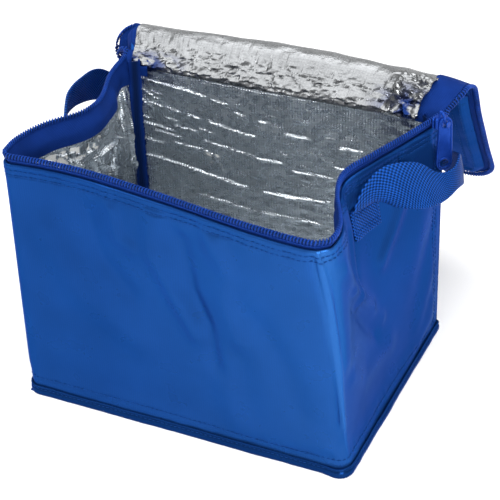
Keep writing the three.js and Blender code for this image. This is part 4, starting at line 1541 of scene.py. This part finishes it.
def add_sewn_ends():
    top = high("handle_sewn_end_left", Z) + 2.2
    for side, centre in (("left", FRONT_START - SEWN_RUN), ("right", FRONT_END + SEWN_RUN)):
        node = f"handle_sewn_end_{side}"
        foot = low(node, Z) + 10
        start, end = centre - WEB_WIDTH / 2, centre + WEB_WIDTH / 2
        run, height = grid(start + across_web(0.5), np.arange(foot, top, 0.5))
        across = run - centre + WEB_WIDTH / 2
        dent = sum(0.35 * np.exp(-((height - foot - row) / 0.7) ** 2) for row in SEWN_ROWS)
        half = edge_round(across)
        front = wall(run, height, -0.25 - half - WEB_THICKNESS / 2 - weave(height, across) + dent)
        back = wall(run, height, -0.25 - WEB_THICKNESS / 2 + half)
        attach(slab(f"sewn_end_{side}", front, back, height, across, WEB, None), "body", "webbing", node)
        line = np.linspace(start + 1.6, end - 1.6, 60)
        for number, row in enumerate(SEWN_ROWS):
            rise = foot + row + 0.25 * np.sin(line * 1.9)
            wall_seam(f"sewn_row_{side}_{number + 1}", line, rise, WEB_THREAD, WEB_THICKNESS - 0.05, 2.4)
        rise = np.linspace(foot + SEWN_ROWS[0], foot + SEWN_ROWS[-1], 60)
        for number, fixed in enumerate((start + 2.0, end - 2.0)):
            wall_seam(f"sewn_side_{side}_{number + 1}", fixed, rise, WEB_THREAD, WEB_THICKNESS + 0.1, 2.6)


# ---- Slider and pull -----------------------------------------------------------------------

PULL = next(joint for joint in frame["joints"] if joint["name"] == "pull_swing")
OUTWARD = unit(np.array(PULL["axis"], float))
ALONG = np.cross([0, 0, 1], OUTWARD)
UPWARD = np.array([0, 0, 1.0])
PIVOT = np.array(PULL["pos_m"]) / MM + 5 * ALONG + 3.2 * UPWARD
PULL_OUT = 7.6
PULL_TURN = math.radians(-33)

# The pull's outline: the radius of its top and of its end, and the distance between them
TAB_TOP, TAB_END, TAB_REACH = 4.3, 5.2, 27.5


def stand(out, side, up, turn=0.0):
    """Point by its distance out from the pivot, along the zip and up; the pull hangs turned."""
    out, side, up = np.broadcast_arrays(np.asarray(out, float), side, up)
    near = (out - PULL_OUT) * math.cos(turn) - side * math.sin(turn) + PULL_OUT
    far = (out - PULL_OUT) * math.sin(turn) + side * math.cos(turn)
    return PIVOT + near[..., None] * OUTWARD + far[..., None] * ALONG + up[..., None] * UPWARD


def arc(centre, radius, start, end, count=14):
    """Points on part of a circle, between two angles in degrees."""
    turn = np.radians(np.linspace(start, end, count))
    return [(centre[0] + radius * math.cos(a), centre[1] + radius * math.sin(a)) for a in turn]


def plate(name, outlines, start, end, bevel, material, turn=0.0):
    """Plate with softly rounded edges, from an outline and its holes, in the slider's own frame."""
    curve = bpy.data.curves.new(name, "CURVE")
    curve.dimensions = "2D"
    curve.fill_mode = "BOTH"
    curve.bevel_resolution = 3
    curve.extrude = (end - start) / 2 - bevel
    curve.bevel_depth = bevel
    curve.offset = -bevel
    for outline in outlines:
        spline = curve.splines.new("POLY")
        spline.points.add(len(outline) - 1)
        spline.use_cyclic_u = True
        for point, (side, up) in zip(spline.points, outline):
            point.co = (side, up, 0, 1)
    holder = add_object(name, curve)
    bpy.context.view_layer.update()
    flat, faces = read_shape(holder)
    bpy.data.objects.remove(holder)
    bpy.data.curves.remove(curve)
    flat = flat.astype(float)
    points = stand(flat[:, 2] + (start + end) / 2, flat[:, 0], flat[:, 1], turn)
    return make(name, points, faces, material, None, math.radians(40))


def add_slider():
    out_low, out_high = 1.8, 5.6
    body = arc((-3.6, 2.0), 2.0, 90, 180) + arc((-3.6, -2.0), 2.0, 180, 270)
    body += [(0.5, -3.6)] + arc((3.6, -1.6), 1.7, 270, 360) + arc((3.6, 1.6), 1.7, 0, 90) + [(0.5, 3.6)]
    face = plate("slider_face", [body], out_high - 1.6, out_high, 0.45, PAINT)
    attach(face, "slider", "slider", "slider_body")
    attach(plate("slider_back", [body], out_low - 0.2, out_low + 1.1, 0.4, PAINT), "slider", "slider")
    for name, up in (("upper", 1), ("lower", -1)):
        wing = [(-4.2, up * 2.9), (3.4, up * 2.2), (3.6, up * 3.5), (-4.0, up * 4.1)][::up]
        flange = plate(f"slider_flange_{name}", [wing], out_low + 0.7, out_high - 1.0, 0.3, PAINT)
        attach(flange, "slider", "slider")
    bridge = [
        (5.0, -1.9, 3.0), (5.2, -1.9, 7.5), (6.6, -1.9, 7.3), (7.6, -1.7, 6.0), (7.9, -1.2, 3.2),
        (7.8, -0.4, 0.6), (7.7, 0.4, -0.3), (8.6, 0.6, -0.5), (9.7, 0.7, -0.5),
    ]
    bar = rod_along("slider_bail", stand(*curve_through(bridge, 60).T), 0.95, PAINT, 12)
    attach(bar, "slider", "slider", "slider_crown")
    head = arc((0.4, -0.4), 2.1, 0, 345, 24)
    attach(plate("slider_bail_head", [head], 9.2, 10.4, 0.45, PAINT), "slider", "slider")


def add_pull():
    outline = arc((0, 0), TAB_TOP, 0, 180, 24) + arc((0, -TAB_REACH), TAB_END, 180, 360, 28)
    eye = arc((0, 0.6), 2.1, 0, 180, 12) + arc((0, -1.2), 2.1, 180, 360, 12)
    hole = arc((0, -TAB_REACH), 3.3, 0, 348, 30)
    back, face = 6.9, 8.3
    tab = plate("pull_plate", [outline, eye, hole], back, face, 0.3, PAINT, PULL_TURN)
    attach(tab, "pull", "slider", "pull_tab")
    for name, ring, wide in (("edge", outline, 0.6), ("eye", eye, 0.45), ("hole", hole, 0.75)):
        points = np.array([*ring, ring[0], ring[1]])
        if name == "edge":
            centre = np.array([0, -TAB_REACH / 2])
            points = centre + (points - centre) * [1 - 0.5 / TAB_TOP, 1 - 0.5 / 18]
        rim = rod_along(f"pull_rim_{name}", stand(face, *points.T, PULL_TURN), wide, PAINT, 10)
        attach(rim, "pull", "slider")


# The row of random draws runs through the stitches, so the order of these calls matters.
add_wrap()
add_wall_seams()
add_hem()
add_base()
add_wall_foam()
add_wall_film()
add_rear_lining()
add_corner_bindings()
add_rim_zip()
add_outer_lid()
add_film_lid()
add_side_tapes()
add_lid_zip()
add_strap()
add_sewn_ends()
add_slider()
add_pull()
